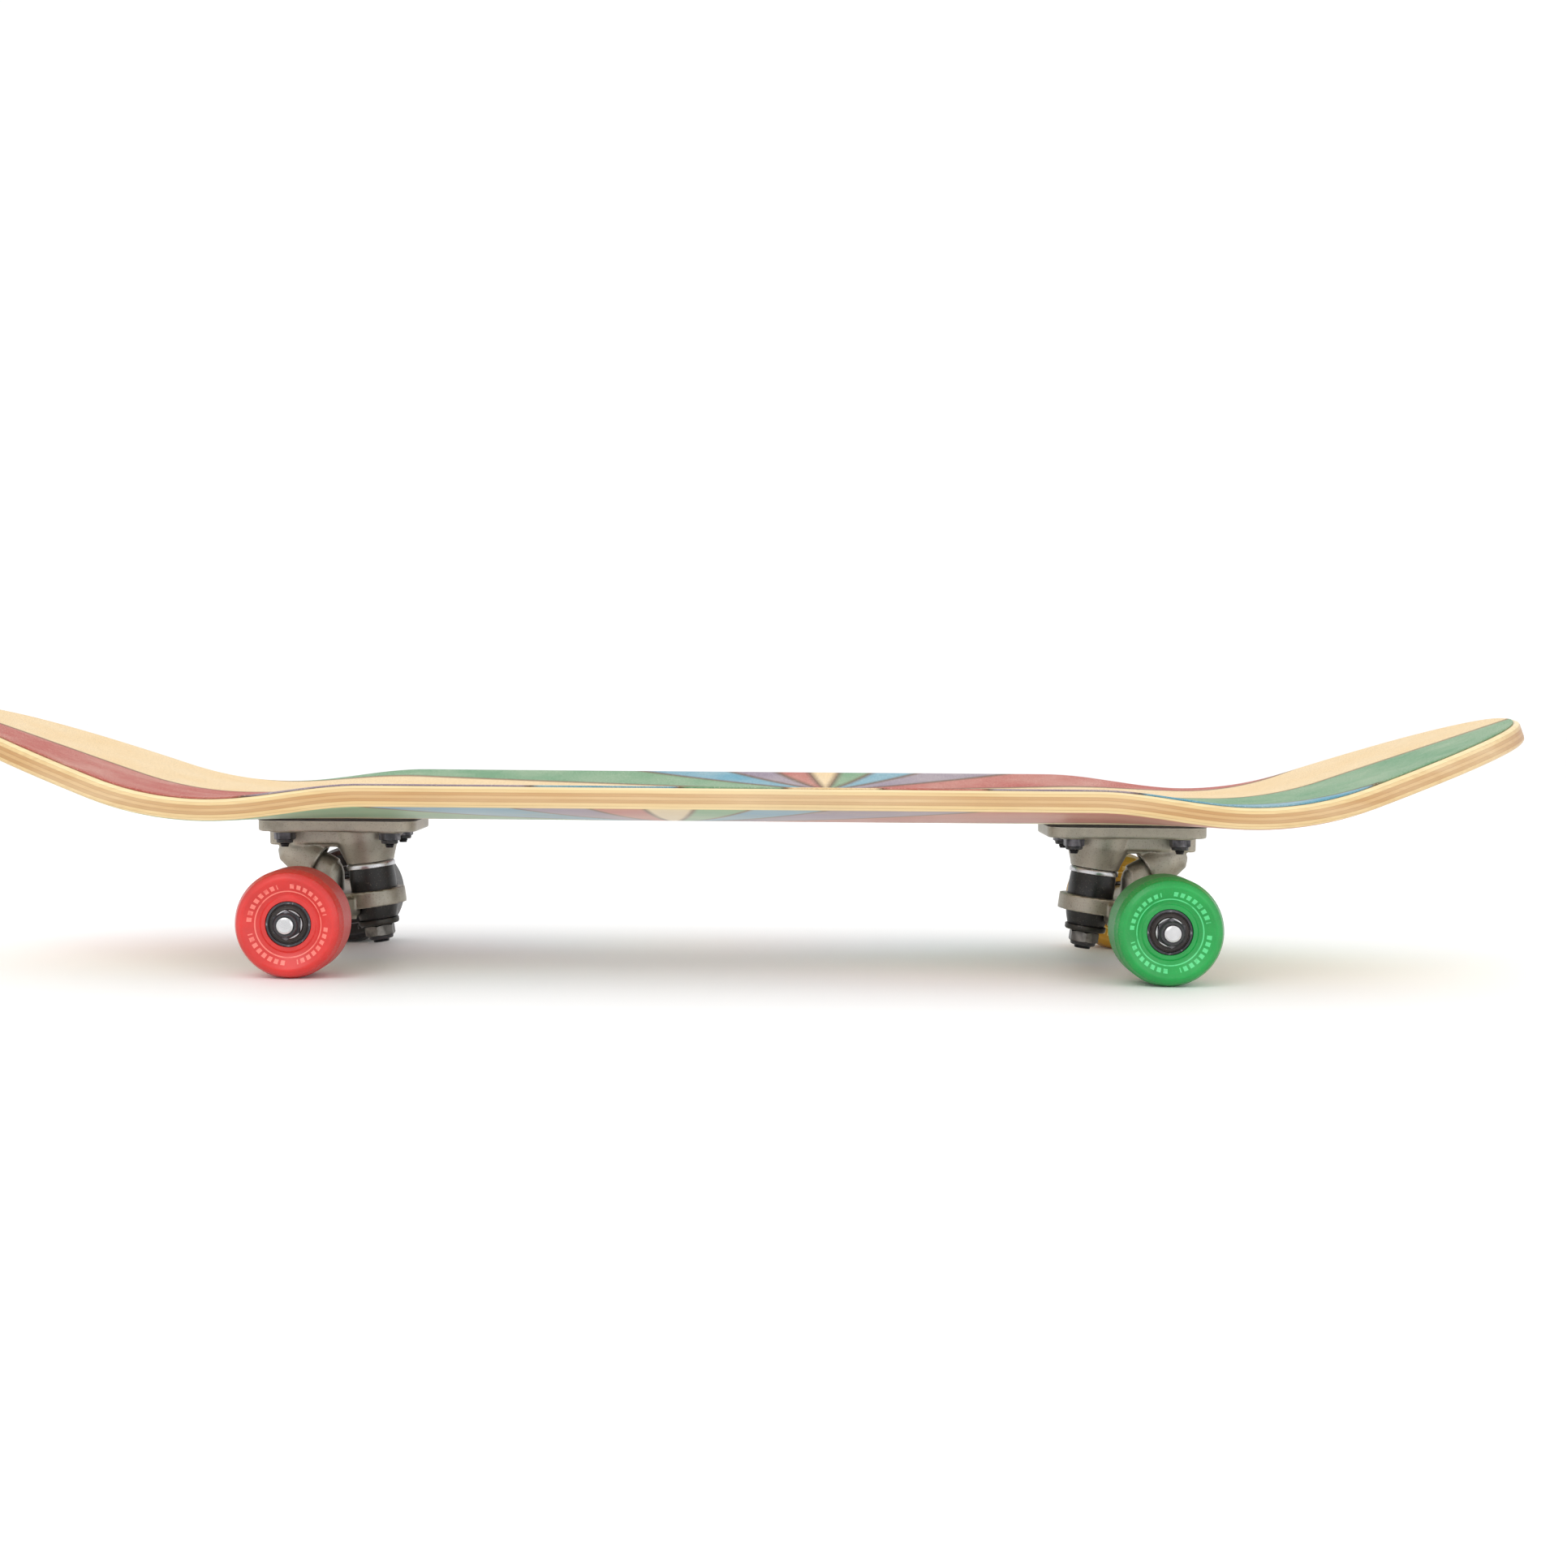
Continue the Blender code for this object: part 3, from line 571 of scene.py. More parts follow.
def handling_effect():
    """Marks of use: fine grit, soft smudges and straight hairline scratches."""
    group, given, out = new_effect(
        "handling", {"Grit Scale": 900.0, "Smudge Scale": 14.0}, ("Grit", "Smudge", "Scratch")
    )
    position = node(group, "TexCoord").outputs["Object"]
    grit = cloud(group, position, given.outputs[0], detail=2.0)
    smudge = cloud(group, position, given.outputs[1], detail=5.0, roughness=0.6)
    scratch = None
    for angle, stretch in ((0.35, (9.0, 1400.0, 300.0)), (-0.6, (7.0, 1100.0, 260.0))):
        inputs = {"Vector": position, "Angle": angle}
        turned_place = node(group, "VectorRotate", inputs, rotation_type="Z_AXIS").outputs[0]
        drawn = node(group, "VectorMath", {0: turned_place, 1: stretch}, operation="MULTIPLY")
        line = spread(group, cloud(group, drawn.outputs[0], 1.0, detail=1.0), 0.70, 0.76)
        scratch = line if scratch is None else maths(group, "MAXIMUM", scratch, line)
    feed(group, out.inputs["Grit"], grit)
    feed(group, out.inputs["Smudge"], smudge)
    feed(group, out.inputs["Scratch"], scratch)
    return group


def rubbed_edge_and_shade_effect():
    """Where sharp outer edges have been rubbed bright, and the painted shade that darkens hollow
    corners.
    """
    group, given, out = new_effect("rubbed edges", {"Low": 0.52, "High": 0.60}, ("Rubbed", "Dirt"))
    sharpness = node(group, "NewGeometry").outputs["Pointiness"]
    position = node(group, "TexCoord").outputs["Object"]
    broken = spread(group, cloud(group, position, 260.0, detail=4.0), 0.30, 0.65, 0.35, 1.0)
    rubbed = spread(group, sharpness, given.outputs[0], given.outputs[1])
    feed(group, out.inputs["Rubbed"], times(group, rubbed, broken))
    # Painted shade: low pointiness, in hollow corners, gives the mask that darkens those corners.
    feed(group, out.inputs["Dirt"], spread(group, sharpness, 0.49, 0.42))
    return group


def lathe_effect():
    """Fine rings about an axle that runs along Y, by distance from it."""
    group, given, out = new_effect(
        "lathe rings", {"Centre": (0.0, 0.0, 0.0), "Fineness": 2600.0}, ("Rings", "Radius", "Turn")
    )
    position = node(group, "TexCoord").outputs["Object"]
    moved = node(group, "VectorMath", {0: position, 1: given.outputs[0]}, operation="SUBTRACT")
    parts = node(group, "SeparateXYZ", {0: moved.outputs[0]})
    x, z = parts.outputs[0], parts.outputs[2]
    radius = length(group, x, z)
    place = node(group, "CombineXYZ", {0: radius, 1: parts.outputs[1]}).outputs[0]
    feed(group, out.inputs["Rings"], cloud(group, place, given.outputs[1], detail=1.0))
    feed(group, out.inputs["Radius"], radius)
    feed(group, out.inputs["Turn"], maths(group, "DIVIDE", maths(group, "ARCTAN2", z, x), 2 * pi))
    return group


RAYS = ray_effect()
HANDLING = handling_effect()
RUBBED = rubbed_edge_and_shade_effect()
LATHE = lathe_effect()
TOP_RAY_CENTRE = (0.050, 0.046, 0.0)
UNDERSIDE_RAY_CENTRE = (-0.028, -0.028, 0.0)


def new_finish(name, roughness, metallic=0.0, **sockets):
    """A material and its shader, with its even values set on the shader itself."""
    material = bpy.data.materials.new(name)
    material.use_nodes = True
    shader = material.node_tree.nodes["Principled BSDF"]
    shader.inputs["Roughness"].default_value = roughness
    shader.inputs["Metallic"].default_value = metallic
    for socket, value in sockets.items():
        shader.inputs[socket.replace("_", " ")].default_value = value
    return material, material.node_tree, shader


def emboss(tree, shader, height, distance, strength=1.0):
    bump = node(tree, "Bump", {"Height": height, "Distance": distance, "Strength": strength})
    feed(tree, shader.inputs["Normal"], bump.outputs[0])


def uneven_roughness(tree, shader, smudge, low, high):
    """Roughness that varies with the smudges."""
    feed(tree, shader.inputs["Roughness"], spread(tree, smudge, 0.3, 0.7, low, high))


def ray_colours(tree, band, codes):
    stops = [(number / RAY_COLOURS, paint(code)) for number, code in enumerate(codes)]
    return bands(tree, band, stops, "CONSTANT")


def maple_finish():
    """Seven plies seen on the edge, clear lacquer, and printed rays on the underside."""
    material, tree, shader = new_finish("maple", 0.42, Coat_Weight=0.18, Coat_Roughness=0.25)
    depth = node(tree, "Attribute", attribute_name="ply_depth").outputs["Fac"]
    end_grain = node(tree, "Attribute", attribute_name="end_grain").outputs["Fac"]
    plies = ("f0dba6", "e2c48c", "c0945f", "cfa873", "bd925e", "dfc088", "edd29c")
    stops = [(number / PLY_COUNT, paint(code)) for number, code in enumerate(plies)]
    wood = bands(tree, depth, stops, "CONSTANT")
    layer = times(tree, depth, float(PLY_COUNT))
    within = maths(tree, "ABSOLUTE", maths(tree, "SUBTRACT", maths(tree, "FRACT", layer), 0.5))
    glue = spread(tree, within, 0.42, 0.5)
    fibre = cloud(tree, place_on_piece(tree, stretch=(14.0, 700.0, 900.0)), 1.0, detail=4.0)
    board = cloud(tree, place_on_piece(tree, stretch=(5.0, 42.0, 60.0)), 1.0, detail=5.0)
    wood = tinted(tree, wood, spread(tree, fibre, 0.35, 0.7, 0.0, 0.35), "b98b55")
    wood = tinted(tree, wood, spread(tree, board, 0.4, 0.7, 0.0, 0.30), "fff0cc")
    wood = tinted(tree, wood, times(tree, glue, 0.45), "8a6238")
    wood = tinted(tree, wood, spread(tree, end_grain, 0.55, 0.98, 0.0, 0.55), "a5713f")

    rays = effect(tree, RAYS, Centre=UNDERSIDE_RAY_CENTRE, Seam_Width=0.0022, Hand=-1.0)
    print_colours = ray_colours(tree, rays["Band"], ("efd9b0", "8fb793", "86b0c4", "a394a6", "c87f74"))
    handling = effect(tree, HANDLING, Grit_Scale=700.0, Smudge_Scale=11.0)
    print_colours = tinted(tree, print_colours, rays["Seam"], "7b6148")
    faded = spread(tree, board, 0.35, 0.75, 0.0, 0.28)
    print_colours = tinted(tree, print_colours, faded, "efe2c4")
    scraped = times(tree, handling["Scratch"], spread(tree, handling["Smudge"], 0.45, 0.6))
    print_colours = tinted(tree, print_colours, scraped, "e8cf9d")
    facing_down = node(tree, "Attribute", attribute_name="underside").outputs["Fac"]
    under = spread(tree, facing_down, 0.80, 0.86)
    colour = mixed(tree, under, wood, print_colours)
    colour = tinted(tree, colour, spread(tree, handling["Smudge"], 0.55, 0.8, 0.0, 0.16), "6d553b")
    feed(tree, shader.inputs["Base Color"], colour)
    uneven_roughness(tree, shader, handling["Smudge"], 0.34, 0.55)
    relief = maths(tree, "SUBTRACT", fibre, times(tree, glue, 0.8))
    relief = maths(tree, "SUBTRACT", relief, scraped)
    emboss(tree, shader, relief, 0.00006)
    return material


def grip_finish():
    """Fine grit over printed rays, rubbed pale where feet stand."""
    material, tree, shader = new_finish("printed grip", 0.72, Specular_IOR_Level=0.35)
    rays = effect(tree, RAYS, Centre=TOP_RAY_CENTRE, Seam_Width=0.0034, Hand=1.0)
    handling = effect(tree, HANDLING, Grit_Scale=2300.0, Smudge_Scale=9.0)
    colour = ray_colours(tree, rays["Band"], ("ebcd9c", "6b9b75", "619fb6", "908193", "b6594f"))
    stain = cloud(tree, place_on_piece(tree, stretch=(30.0, 30.0, 30.0)), 1.0, detail=6.0)
    colour = tinted(tree, colour, spread(tree, stain, 0.35, 0.7, 0.0, 0.22), "f3ead6")
    colour = tinted(tree, colour, times(tree, rays["Seam"], 0.9), "6b4f38")
    specks = spread(tree, handling["Grit"], 0.36, 0.5, 0.34, 0.0)
    colour = tinted(tree, colour, specks, "3f3a36")
    glints = spread(tree, handling["Grit"], 0.60, 0.72, 0.0, 0.4)
    colour = tinted(tree, colour, glints, "fff6e4")
    stood_on = spread(tree, handling["Smudge"], 0.5, 0.65, 0.0, 0.6)
    scuffs = times(tree, handling["Scratch"], stood_on)
    colour = tinted(tree, colour, scuffs, "d9d0bf")
    feed(tree, shader.inputs["Base Color"], colour)
    feed(tree, shader.inputs["Roughness"], spread(tree, handling["Grit"], 0.35, 0.7, 0.85, 0.55))
    emboss(tree, shader, handling["Grit"], 0.00022, 0.8)
    return material


def cast_finish():
    """Tumbled, unpolished cast aluminium."""
    material, tree, shader = new_finish("cast aluminium", 0.45, 1.0)
    handling = effect(tree, HANDLING, Grit_Scale=1500.0, Smudge_Scale=45.0)
    edges = effect(tree, RUBBED, Low=0.515, High=0.575)
    colour = bands(
        tree, handling["Smudge"],
        [(0.30, paint("8f8a80")), (0.50, paint("aca79c")), (0.72, paint("bdb6aa"))],
    )
    pits = spread(tree, handling["Grit"], 0.30, 0.42, 0.5, 0.0)
    colour = tinted(tree, colour, pits, "6a655d")
    # Painted shade: the casting's hollow corners are darkened towards 4f4a42.
    colour = tinted(tree, colour, times(tree, edges["Dirt"], 0.55), "4f4a42")
    colour = tinted(tree, colour, times(tree, edges["Rubbed"], 0.7), "dcd8cf")
    feed(tree, shader.inputs["Base Color"], colour)
    rough = spread(tree, handling["Smudge"], 0.3, 0.7, 0.42, 0.58)
    rough = maths(tree, "SUBTRACT", rough, times(tree, edges["Rubbed"], 0.14))
    feed(tree, shader.inputs["Roughness"], rough)
    relief = maths(tree, "ADD", handling["Grit"], times(tree, handling["Smudge"], 0.6))
    relief = maths(tree, "SUBTRACT", relief, times(tree, handling["Scratch"], 0.4))
    emboss(tree, shader, relief, 0.00010, 0.7)
    return material


def steel_finish(name, codes, roughness, metallic):
    """Plated or blackened steel with tool marks and rubbed corners."""
    material, tree, shader = new_finish(name, roughness, metallic)
    handling = effect(tree, HANDLING, Grit_Scale=2600.0, Smudge_Scale=90.0)
    edges = effect(tree, RUBBED, Low=0.53, High=0.62)
    dark, pale, rubbed = (paint(code) for code in codes)
    colour = mixed(tree, spread(tree, handling["Smudge"], 0.35, 0.65), dark, pale)
    worn = maths(tree, "MAXIMUM", edges["Rubbed"], times(tree, handling["Scratch"], 0.5))
    colour = mixed(tree, worn, colour, rubbed)
    feed(tree, shader.inputs["Base Color"], colour)
    uneven_roughness(tree, shader, handling["Smudge"], roughness - 0.06, roughness + 0.12)
    emboss(tree, shader, handling["Grit"], 0.00003, 0.6)
    return material


def rubber_finish(name, codes, roughness):
    """Poured urethane or moulded rubber, faintly cloudy, with dust in its grain."""
    material, tree, shader = new_finish(name, roughness, Coat_Weight=0.08, Coat_Roughness=0.3)
    handling = effect(tree, HANDLING, Grit_Scale=1300.0, Smudge_Scale=60.0)
    dark, pale = (paint(code) for code in codes)
    colour = mixed(tree, spread(tree, handling["Smudge"], 0.35, 0.75), dark, pale)
    dust = spread(tree, handling["Grit"], 0.62, 0.75, 0.0, 0.35)
    colour = tinted(tree, colour, dust, "8d8579")
    feed(tree, shader.inputs["Base Color"], colour)
    uneven_roughness(tree, shader, handling["Smudge"], roughness - 0.08, roughness + 0.12)
    emboss(tree, shader, handling["Grit"], 0.00004, 0.6)
    return material


# The wheel's printed ring: dashes in four arcs, inside them a thin line, and where the tread starts
DASH_RING_RADIUS = 0.0186
DASH_HALF_LENGTH = 0.0011
DASH_COUNT = 36.0
DASH_SHARE = 0.62
DASH_ARCS = 4.0
DASH_ARC_GAP = 0.16
LINE_RING_RADIUS = 0.0160
LINE_HALF_WIDTH = 0.0003
TREAD_RADIUS = 0.0264


def wheel_finish(name, centre, codes):
    """Poured urethane: turned tread, a ring of pale printed dashes on each face, rolled-in dust, and
    painted shade darkening the outer rim of each face.
    """
    material, tree, shader = new_finish(name, 0.34, Coat_Weight=0.15, Coat_Roughness=0.2)
    body, deep, dash = (paint(code) for code in codes)
    handling = effect(tree, HANDLING, Grit_Scale=1100.0, Smudge_Scale=55.0)
    lathe = effect(tree, LATHE, Centre=centre, Fineness=3000.0)
    radius, turn = lathe["Radius"], lathe["Turn"]
    colour = mixed(tree, spread(tree, handling["Smudge"], 0.3, 0.75, 0.0, 0.5), body, deep)
    # Painted shade: the outer rim of each face is darkened towards the deep colour.
    rim = spread(tree, radius, 0.0232, 0.0262, 0.0, 0.45)
    colour = mixed(tree, rim, colour, deep)

    ring = maths(tree, "COMPARE", radius, DASH_RING_RADIUS, DASH_HALF_LENGTH)
    steps = times(tree, turn, DASH_COUNT)
    dashes = maths(tree, "LESS_THAN", maths(tree, "FRACT", steps), DASH_SHARE)
    arcs = maths(tree, "FRACT", times(tree, turn, DASH_ARCS))
    gaps = maths(tree, "GREATER_THAN", arcs, DASH_ARC_GAP)
    inner_ring = maths(tree, "COMPARE", radius, LINE_RING_RADIUS, LINE_HALF_WIDTH)
    printed = times(tree, times(tree, ring, dashes), gaps)
    printed = maths(tree, "MAXIMUM", printed, inner_ring)
    patches = cloud(tree, place_on_piece(tree), 240.0, detail=2.0)
    rubbed_off = spread(tree, patches, 0.30, 0.45, 0.45, 1.0)
    printed = times(tree, times(tree, printed, rubbed_off), 0.8)
    colour = mixed(tree, printed, colour, dash)

    tread = spread(tree, radius, 0.0262, TREAD_RADIUS)
    dust = spread(tree, handling["Grit"], 0.52, 0.70, 0.0, 0.30)
    in_rings = spread(tree, lathe["Rings"], 0.5, 0.75, 0.0, 0.25)
    dust = maths(tree, "ADD", dust, times(tree, in_rings, tread))
    dust = times(tree, dust, spread(tree, radius, 0.0235, TREAD_RADIUS, 0.15, 1.0))
    colour = tinted(tree, colour, dust, "9a8f80")
    feed(tree, shader.inputs["Base Color"], colour)
    feed(tree, shader.inputs["Roughness"], spread(tree, radius, 0.0255, TREAD_RADIUS, 0.32, 0.58))
    relief = times(tree, lathe["Rings"], 0.8)
    relief = maths(tree, "ADD", relief, times(tree, handling["Grit"], 0.5))
    relief = maths(tree, "ADD", relief, times(tree, printed, 0.5))
    emboss(tree, shader, relief, 0.00005, 0.7)
    return material


def pad_finish():
    """Pressed black plastic sheet with a fine pebbled face."""
    material, tree, shader = new_finish("riser plastic", 0.6)
    cells = node(tree, "TexVoronoi", {"Vector": place_on_piece(tree), "Scale": 1400.0}).outputs[0]
    handling = effect(tree, HANDLING, Grit_Scale=900.0, Smudge_Scale=50.0)
    colour = mixed(tree, spread(tree, handling["Smudge"], 0.4, 0.7), paint("2b2826"), paint("45403b"))
    feed(tree, shader.inputs["Base Color"], colour)
    feed(tree, shader.inputs["Roughness"], spread(tree, cells, 0.1, 0.6, 0.5, 0.72))
    emboss(tree, shader, cells, 0.00008, 0.8)
    return material


def floor_finish():
    material, tree, shader = new_finish("pale floor", 0.6, Specular_IOR_Level=0.2)
    mottle = cloud(tree, place_on_piece(tree), 1.5, detail=4.0)
    colour = mixed(tree, spread(tree, mottle, 0.3, 0.7), paint("fbfbfb"), paint("fefefe"))
    feed(tree, shader.inputs["Base Color"], colour)
    return material


MAPLE = maple_finish()
GRIP = grip_finish()
CAST = cast_finish()
BLACK_STEEL = steel_finish("black steel", ("17171a", "2a2a2c", "77757a"), 0.34, 0.85)
BRIGHT_STEEL = steel_finish("bright steel", ("b9b9bb", "d2d2d4", "f2f2f2"), 0.26, 1.0)
BUSHING = rubber_finish("bushing urethane", ("0f0f11", "1d1b1c"), 0.40)
PIVOT = rubber_finish("pivot urethane", ("1a1f1c", "2a302c"), 0.48)
RACE_STEEL = steel_finish("bearing steel", ("3c3c3f", "59595d", "a9a9ad"), 0.30, 1.0)
# Painted shade: the kingpin nut and the lower cup washer under the hanger get this darkened zinc, while
# the upper cup washer stays bright steel.
UNDER_HANGER_SHADED_STEEL = steel_finish("dull zinc", ("2e2d2c", "4a4845", "8d8a86"), 0.40, 0.9)
SEAL = rubber_finish("bearing seal", ("1b1413", "33251f"), 0.42)
NYLON = rubber_finish("nylon collar", ("26262a", "3a3a3e"), 0.50)
PAD = pad_finish()
WHEEL_CODES = {
    "rear_right": ("wheel_red", ("e2322d", "a81c1a", "ff8d80")),
    "front_right": ("wheel_green", ("0aa548", "047030", "63e796")),
    "rear_left": ("wheel_black", ("1c1c1e", "0e0e0f", "77777a")),
    "front_left": ("wheel_gold", ("d09a2c", "9a6914", "f1d588")),
}


# Deck


def deck_outline(share):
    """The top face's outline as x, y at shares of the way round from the front tip."""
    turn = np.linspace(0.0, pi / 2, 400)
    bend = 2.0 / NOSE_ROUNDNESS
    x = DECK_LENGTH / 2 - NOSE_LENGTH + NOSE_LENGTH * np.cos(turn) ** bend
    y = DECK_WIDTH / 2 * np.sin(turn) ** bend
    x = np.concatenate([x, -x[::-1], -x, x[::-1]])
    y = np.concatenate([y, y[::-1], -y, -y[::-1]])
    walked = np.concatenate([[0.0], np.cumsum(np.hypot(np.diff(x), np.diff(y)))])
    reach = np.asarray(share) * walked[-1]
    return np.interp(reach, walked, x), np.interp(reach, walked, y)


def deck_height(x, y):
    """How far the top face stands above the middle of the deck."""
    past = np.maximum(np.abs(x) - KICK_START, 0.0)
    reach = KICK_RADIUS * sin(KICK_ANGLE)
    arc = KICK_RADIUS - np.sqrt(KICK_RADIUS**2 - np.minimum(past, reach) ** 2)
    kick = arc + np.maximum(past - reach, 0.0) * tan(KICK_ANGLE)
    blend = np.clip((np.abs(x) - CONCAVE_FADE_START) / (KICK_START - CONCAVE_FADE_START), 0.0, 1.0)
    blend = blend * blend * (3.0 - 2.0 * blend)
    rail = CONCAVE_RISE + (KICK_CONCAVE_RISE - CONCAVE_RISE) * blend
    flat = FLAT_SHARE * DECK_WIDTH / 2
    share = np.maximum(np.abs(y) - flat, 0.0) / (DECK_WIDTH / 2 - flat)
    return kick + rail * share**CONCAVE_POWER


def pressed_sheet(name, lift, inset, thickness, grow_up, rings):
    """A sheet pressed to the deck's shape: a grid wrapped round from a spine to the rim."""
    deselect()
    bpy.ops.mesh.primitive_grid_add(x_subdivisions=OUTLINE_STEPS, y_subdivisions=rings, size=2.0)
    piece = bpy.context.object
    piece.name = name
    grid = np.zeros(len(piece.data.vertices) * 3, np.float32)
    piece.data.vertices.foreach_get("co", grid)
    grid = grid.reshape(-1, 3).astype(float)
    rim_x, rim_y = deck_outline((grid[:, 0] + 1.0) / 2.0)
    out = (grid[:, 1] + 1.0) / 2.0
    x = rim_x * (SPINE_SHARE + (1.0 - SPINE_SHARE) * out)
    y = rim_y * out
    from_spine = np.hypot(rim_x * (1.0 - SPINE_SHARE), rim_y)
    shrink = 1.0 - inset / from_spine
    x = rim_x * SPINE_SHARE + (x - rim_x * SPINE_SHARE) * shrink
    y = y * shrink
    z = DECK_TOP + lift + deck_height(x, y)
    piece.data.vertices.foreach_set("co", np.stack([x, y, z], 1).astype(np.float32).ravel())
    piece.data.update()
    start_editing(piece)
    bpy.ops.mesh.remove_doubles(threshold=0.00002)
    if piece.data.polygons[0].normal.z < 0.0:
        bpy.ops.mesh.flip_normals()
    stop_editing()
    shaped(
        piece, "SOLIDIFY", thickness=thickness, offset=1.0 if grow_up else -1.0, use_even_offset=True
    )
    return piece


def note_plies(piece):
    """Stores how deep each point lies in the deck, and how far it faces the tips and the ground."""
    count = len(piece.data.vertices)
    place = np.zeros(count * 3, np.float32)
    facing = np.zeros(count * 3, np.float32)
    piece.data.vertices.foreach_get("co", place)
    piece.data.vertex_normals.foreach_get("vector", facing)
    x, y, z = place.reshape(-1, 3).astype(float).T
    step = 0.0005
    drop = np.zeros(count)
    foot_x, foot_y = x.copy(), y.copy()
    for _ in range(3):
        slope_x = (deck_height(foot_x + step, foot_y) - deck_height(foot_x - step, foot_y)) / (2 * step)
        slope_y = (deck_height(foot_x, foot_y + step) - deck_height(foot_x, foot_y - step)) / (2 * step)
        level = 1.0 / np.sqrt(1.0 + slope_x**2 + slope_y**2)
        drop = (DECK_TOP + deck_height(foot_x, foot_y) - z) * level
        foot_x = x - slope_x * level * drop
        foot_y = y - slope_y * level * drop
    depth = piece.data.attributes.new("ply_depth", "FLOAT", "POINT")
    depth.data.foreach_set("value", np.clip(drop / DECK_THICKNESS, 0.0, 1.0).astype(np.float32))
    facing = facing.reshape(-1, 3)
    ends = piece.data.attributes.new("end_grain", "FLOAT", "POINT")
    ends.data.foreach_set("value", np.abs(facing[:, 0]))
    below = piece.data.attributes.new("underside", "FLOAT", "POINT")
    below.data.foreach_set("value", np.clip(-facing[:, 2], 0.0, 1.0))


def build_deck():
    deck = pressed_sheet("pressed_maple_deck", 0.0, 0.0, DECK_THICKNESS, False, 14)
    shaped(
        deck, "BEVEL", width=RIM_ROUNDING, segments=6, limit_method="ANGLE", angle_limit=radians(60.0)
    )
    shank = BOLT_RADIUS + SLIP_GAP
    mouth = BOLT_HEAD_RADIUS + SLIP_GAP
    seat = BOLT_TOP - 0.0008
    drill = [
        Vector((0.0, DECK_TOP + 0.002)),
        Vector((mouth, DECK_TOP + 0.002)),
        Vector((mouth, seat)),
        Vector((shank, seat - (mouth - shank))),
        Vector((shank, UNDERSIDE - 0.002)),
        Vector((0.0, UNDERSIDE - 0.002)),
    ]
    spots = [Matrix.Translation(spot) for spot in BOLT_SPOTS.values()]
    carve(deck, joined([turned("drill", drill, SMALL_STEPS, spot) for spot in spots]))
    note_plies(deck)
    smooth(deck, 50.0)
    dress(deck, MAPLE, "maple", "board", "deck")

    grip = pressed_sheet("printed_grip_cover", GRIP_LIFT, GRIP_INSET, GRIP_THICKNESS, True, 20)
    shaped(grip, "BEVEL", width=0.00025, segments=2, limit_method="ANGLE", angle_limit=radians(60.0))
    punch = [rod(mouth, DECK_TOP - 0.002, DECK_TOP + 0.004, SMALL_STEPS, spot) for spot in spots]
    carve(grip, joined(punch))
    smooth(grip, 50.0)
    dress(grip, GRIP, "printed_grip", "board", "grip_sheet")


def cross_recess(width, depth, top):
    """A cutter for a crosshead driver's recess, narrowing downwards."""
    arms = []
    for turn in (0.0, pi / 2):
        half_length, half_width = width / 2, width * 0.13
        low, high = (-half_length, -half_width, top - depth), (half_length, half_width, top + 0.001)
        arm = slab("recess", low, high)
        start_editing(arm)
        pick(arm, "faces", lambda f: f.normal.z < -0.9)
        bpy.ops.transform.resize(value=(0.45, 0.6, 1.0), center_override=(0.0, 0.0, top - depth))
        stop_editing()
        arm.data.transform(Matrix.Rotation(turn, 4, "Z"))
        arms.append(arm)
    return arms


def build_deck_hardware():
    """Eight countersunk bolts and their nyloc nuts."""
    head = BOLT_HEAD_RADIUS
    cone_foot = BOLT_TOP - 0.0006 - (head - BOLT_RADIUS)
    profile = rounded(
        [
            (0.0, BOLT_TOP, 0.0),
            (head, BOLT_TOP, 0.0003),
            (head, BOLT_TOP - 0.0006, 0.0),
            (BOLT_RADIUS, cone_foot, 0.0004),
            (BOLT_RADIUS, 0.0665, 0.0),
        ],
        3,
    )
    profile += threads(BOLT_RADIUS, 0.0660, BOLT_TIP + 0.0006, 0.0008, 0.0003)
    profile += [Vector((BOLT_RADIUS - 0.0005, BOLT_TIP)), Vector((0.0, BOLT_TIP))]
    bolt = turned("bolt", profile, SMALL_STEPS)
    carve(bolt, *cross_recess(0.0054, 0.0018, BOLT_TOP))
    smooth(bolt)

    top = FLANGE_BOTTOM - 0.0003
    nut = hexagon("nut", LOCK_NUT_FLATS, top - LOCK_NUT_HEIGHT, top)
    bore = BOLT_RADIUS + THREAD_GAP
    carve(nut, rod(bore, top - 0.010, top + 0.002, SMALL_STEPS))
    smooth(nut)
    collar = turned(
        "collar",
        rounded(
            [
                (bore, top - LOCK_NUT_HEIGHT, 0.0),
                (LOCK_NUT_FLATS * 0.46, top - LOCK_NUT_HEIGHT, 0.0),
                (LOCK_NUT_FLATS * 0.44, top - LOCK_NUT_COLLAR, 0.0005),
                (bore, top - LOCK_NUT_COLLAR, 0.0003),
            ],
            4,
        ),
        SMALL_STEPS,
        ring=True,
    )
    smooth(collar)
    for label, spot in BOLT_SPOTS.items():
        place = Matrix.Translation(spot)
        twist = place @ Matrix.Rotation(Vector(BOLT_TURNS).dot(spot), 4, "Z")
        rows = (
            (bolt, "crosshead_bolt", twist, BLACK_STEEL, "deck_bolt"),
            (nut, "nyloc_nut", twist, BLACK_STEEL, "lock_nut"),
            (collar, "nyloc_collar", place, NYLON, None),
        )
        for model, name, matrix, finish, node_name in rows:
            nodes = [f"{node_name}_{label}"] if node_name else []
            set_copy(model, f"{name}_{label}", matrix, finish, "black_steel", "board", *nodes)
    for model in (bolt, nut, collar):
        bpy.data.objects.remove(model)


# Trucks


def bolt_place(end, side):
    """A bolt hole's place in the truck's frame, from its end and its side of the plate."""
    return Matrix.Translation((PLATE_X + end * BOLT_SPREAD[0], side * BOLT_SPREAD[1], 0.0))


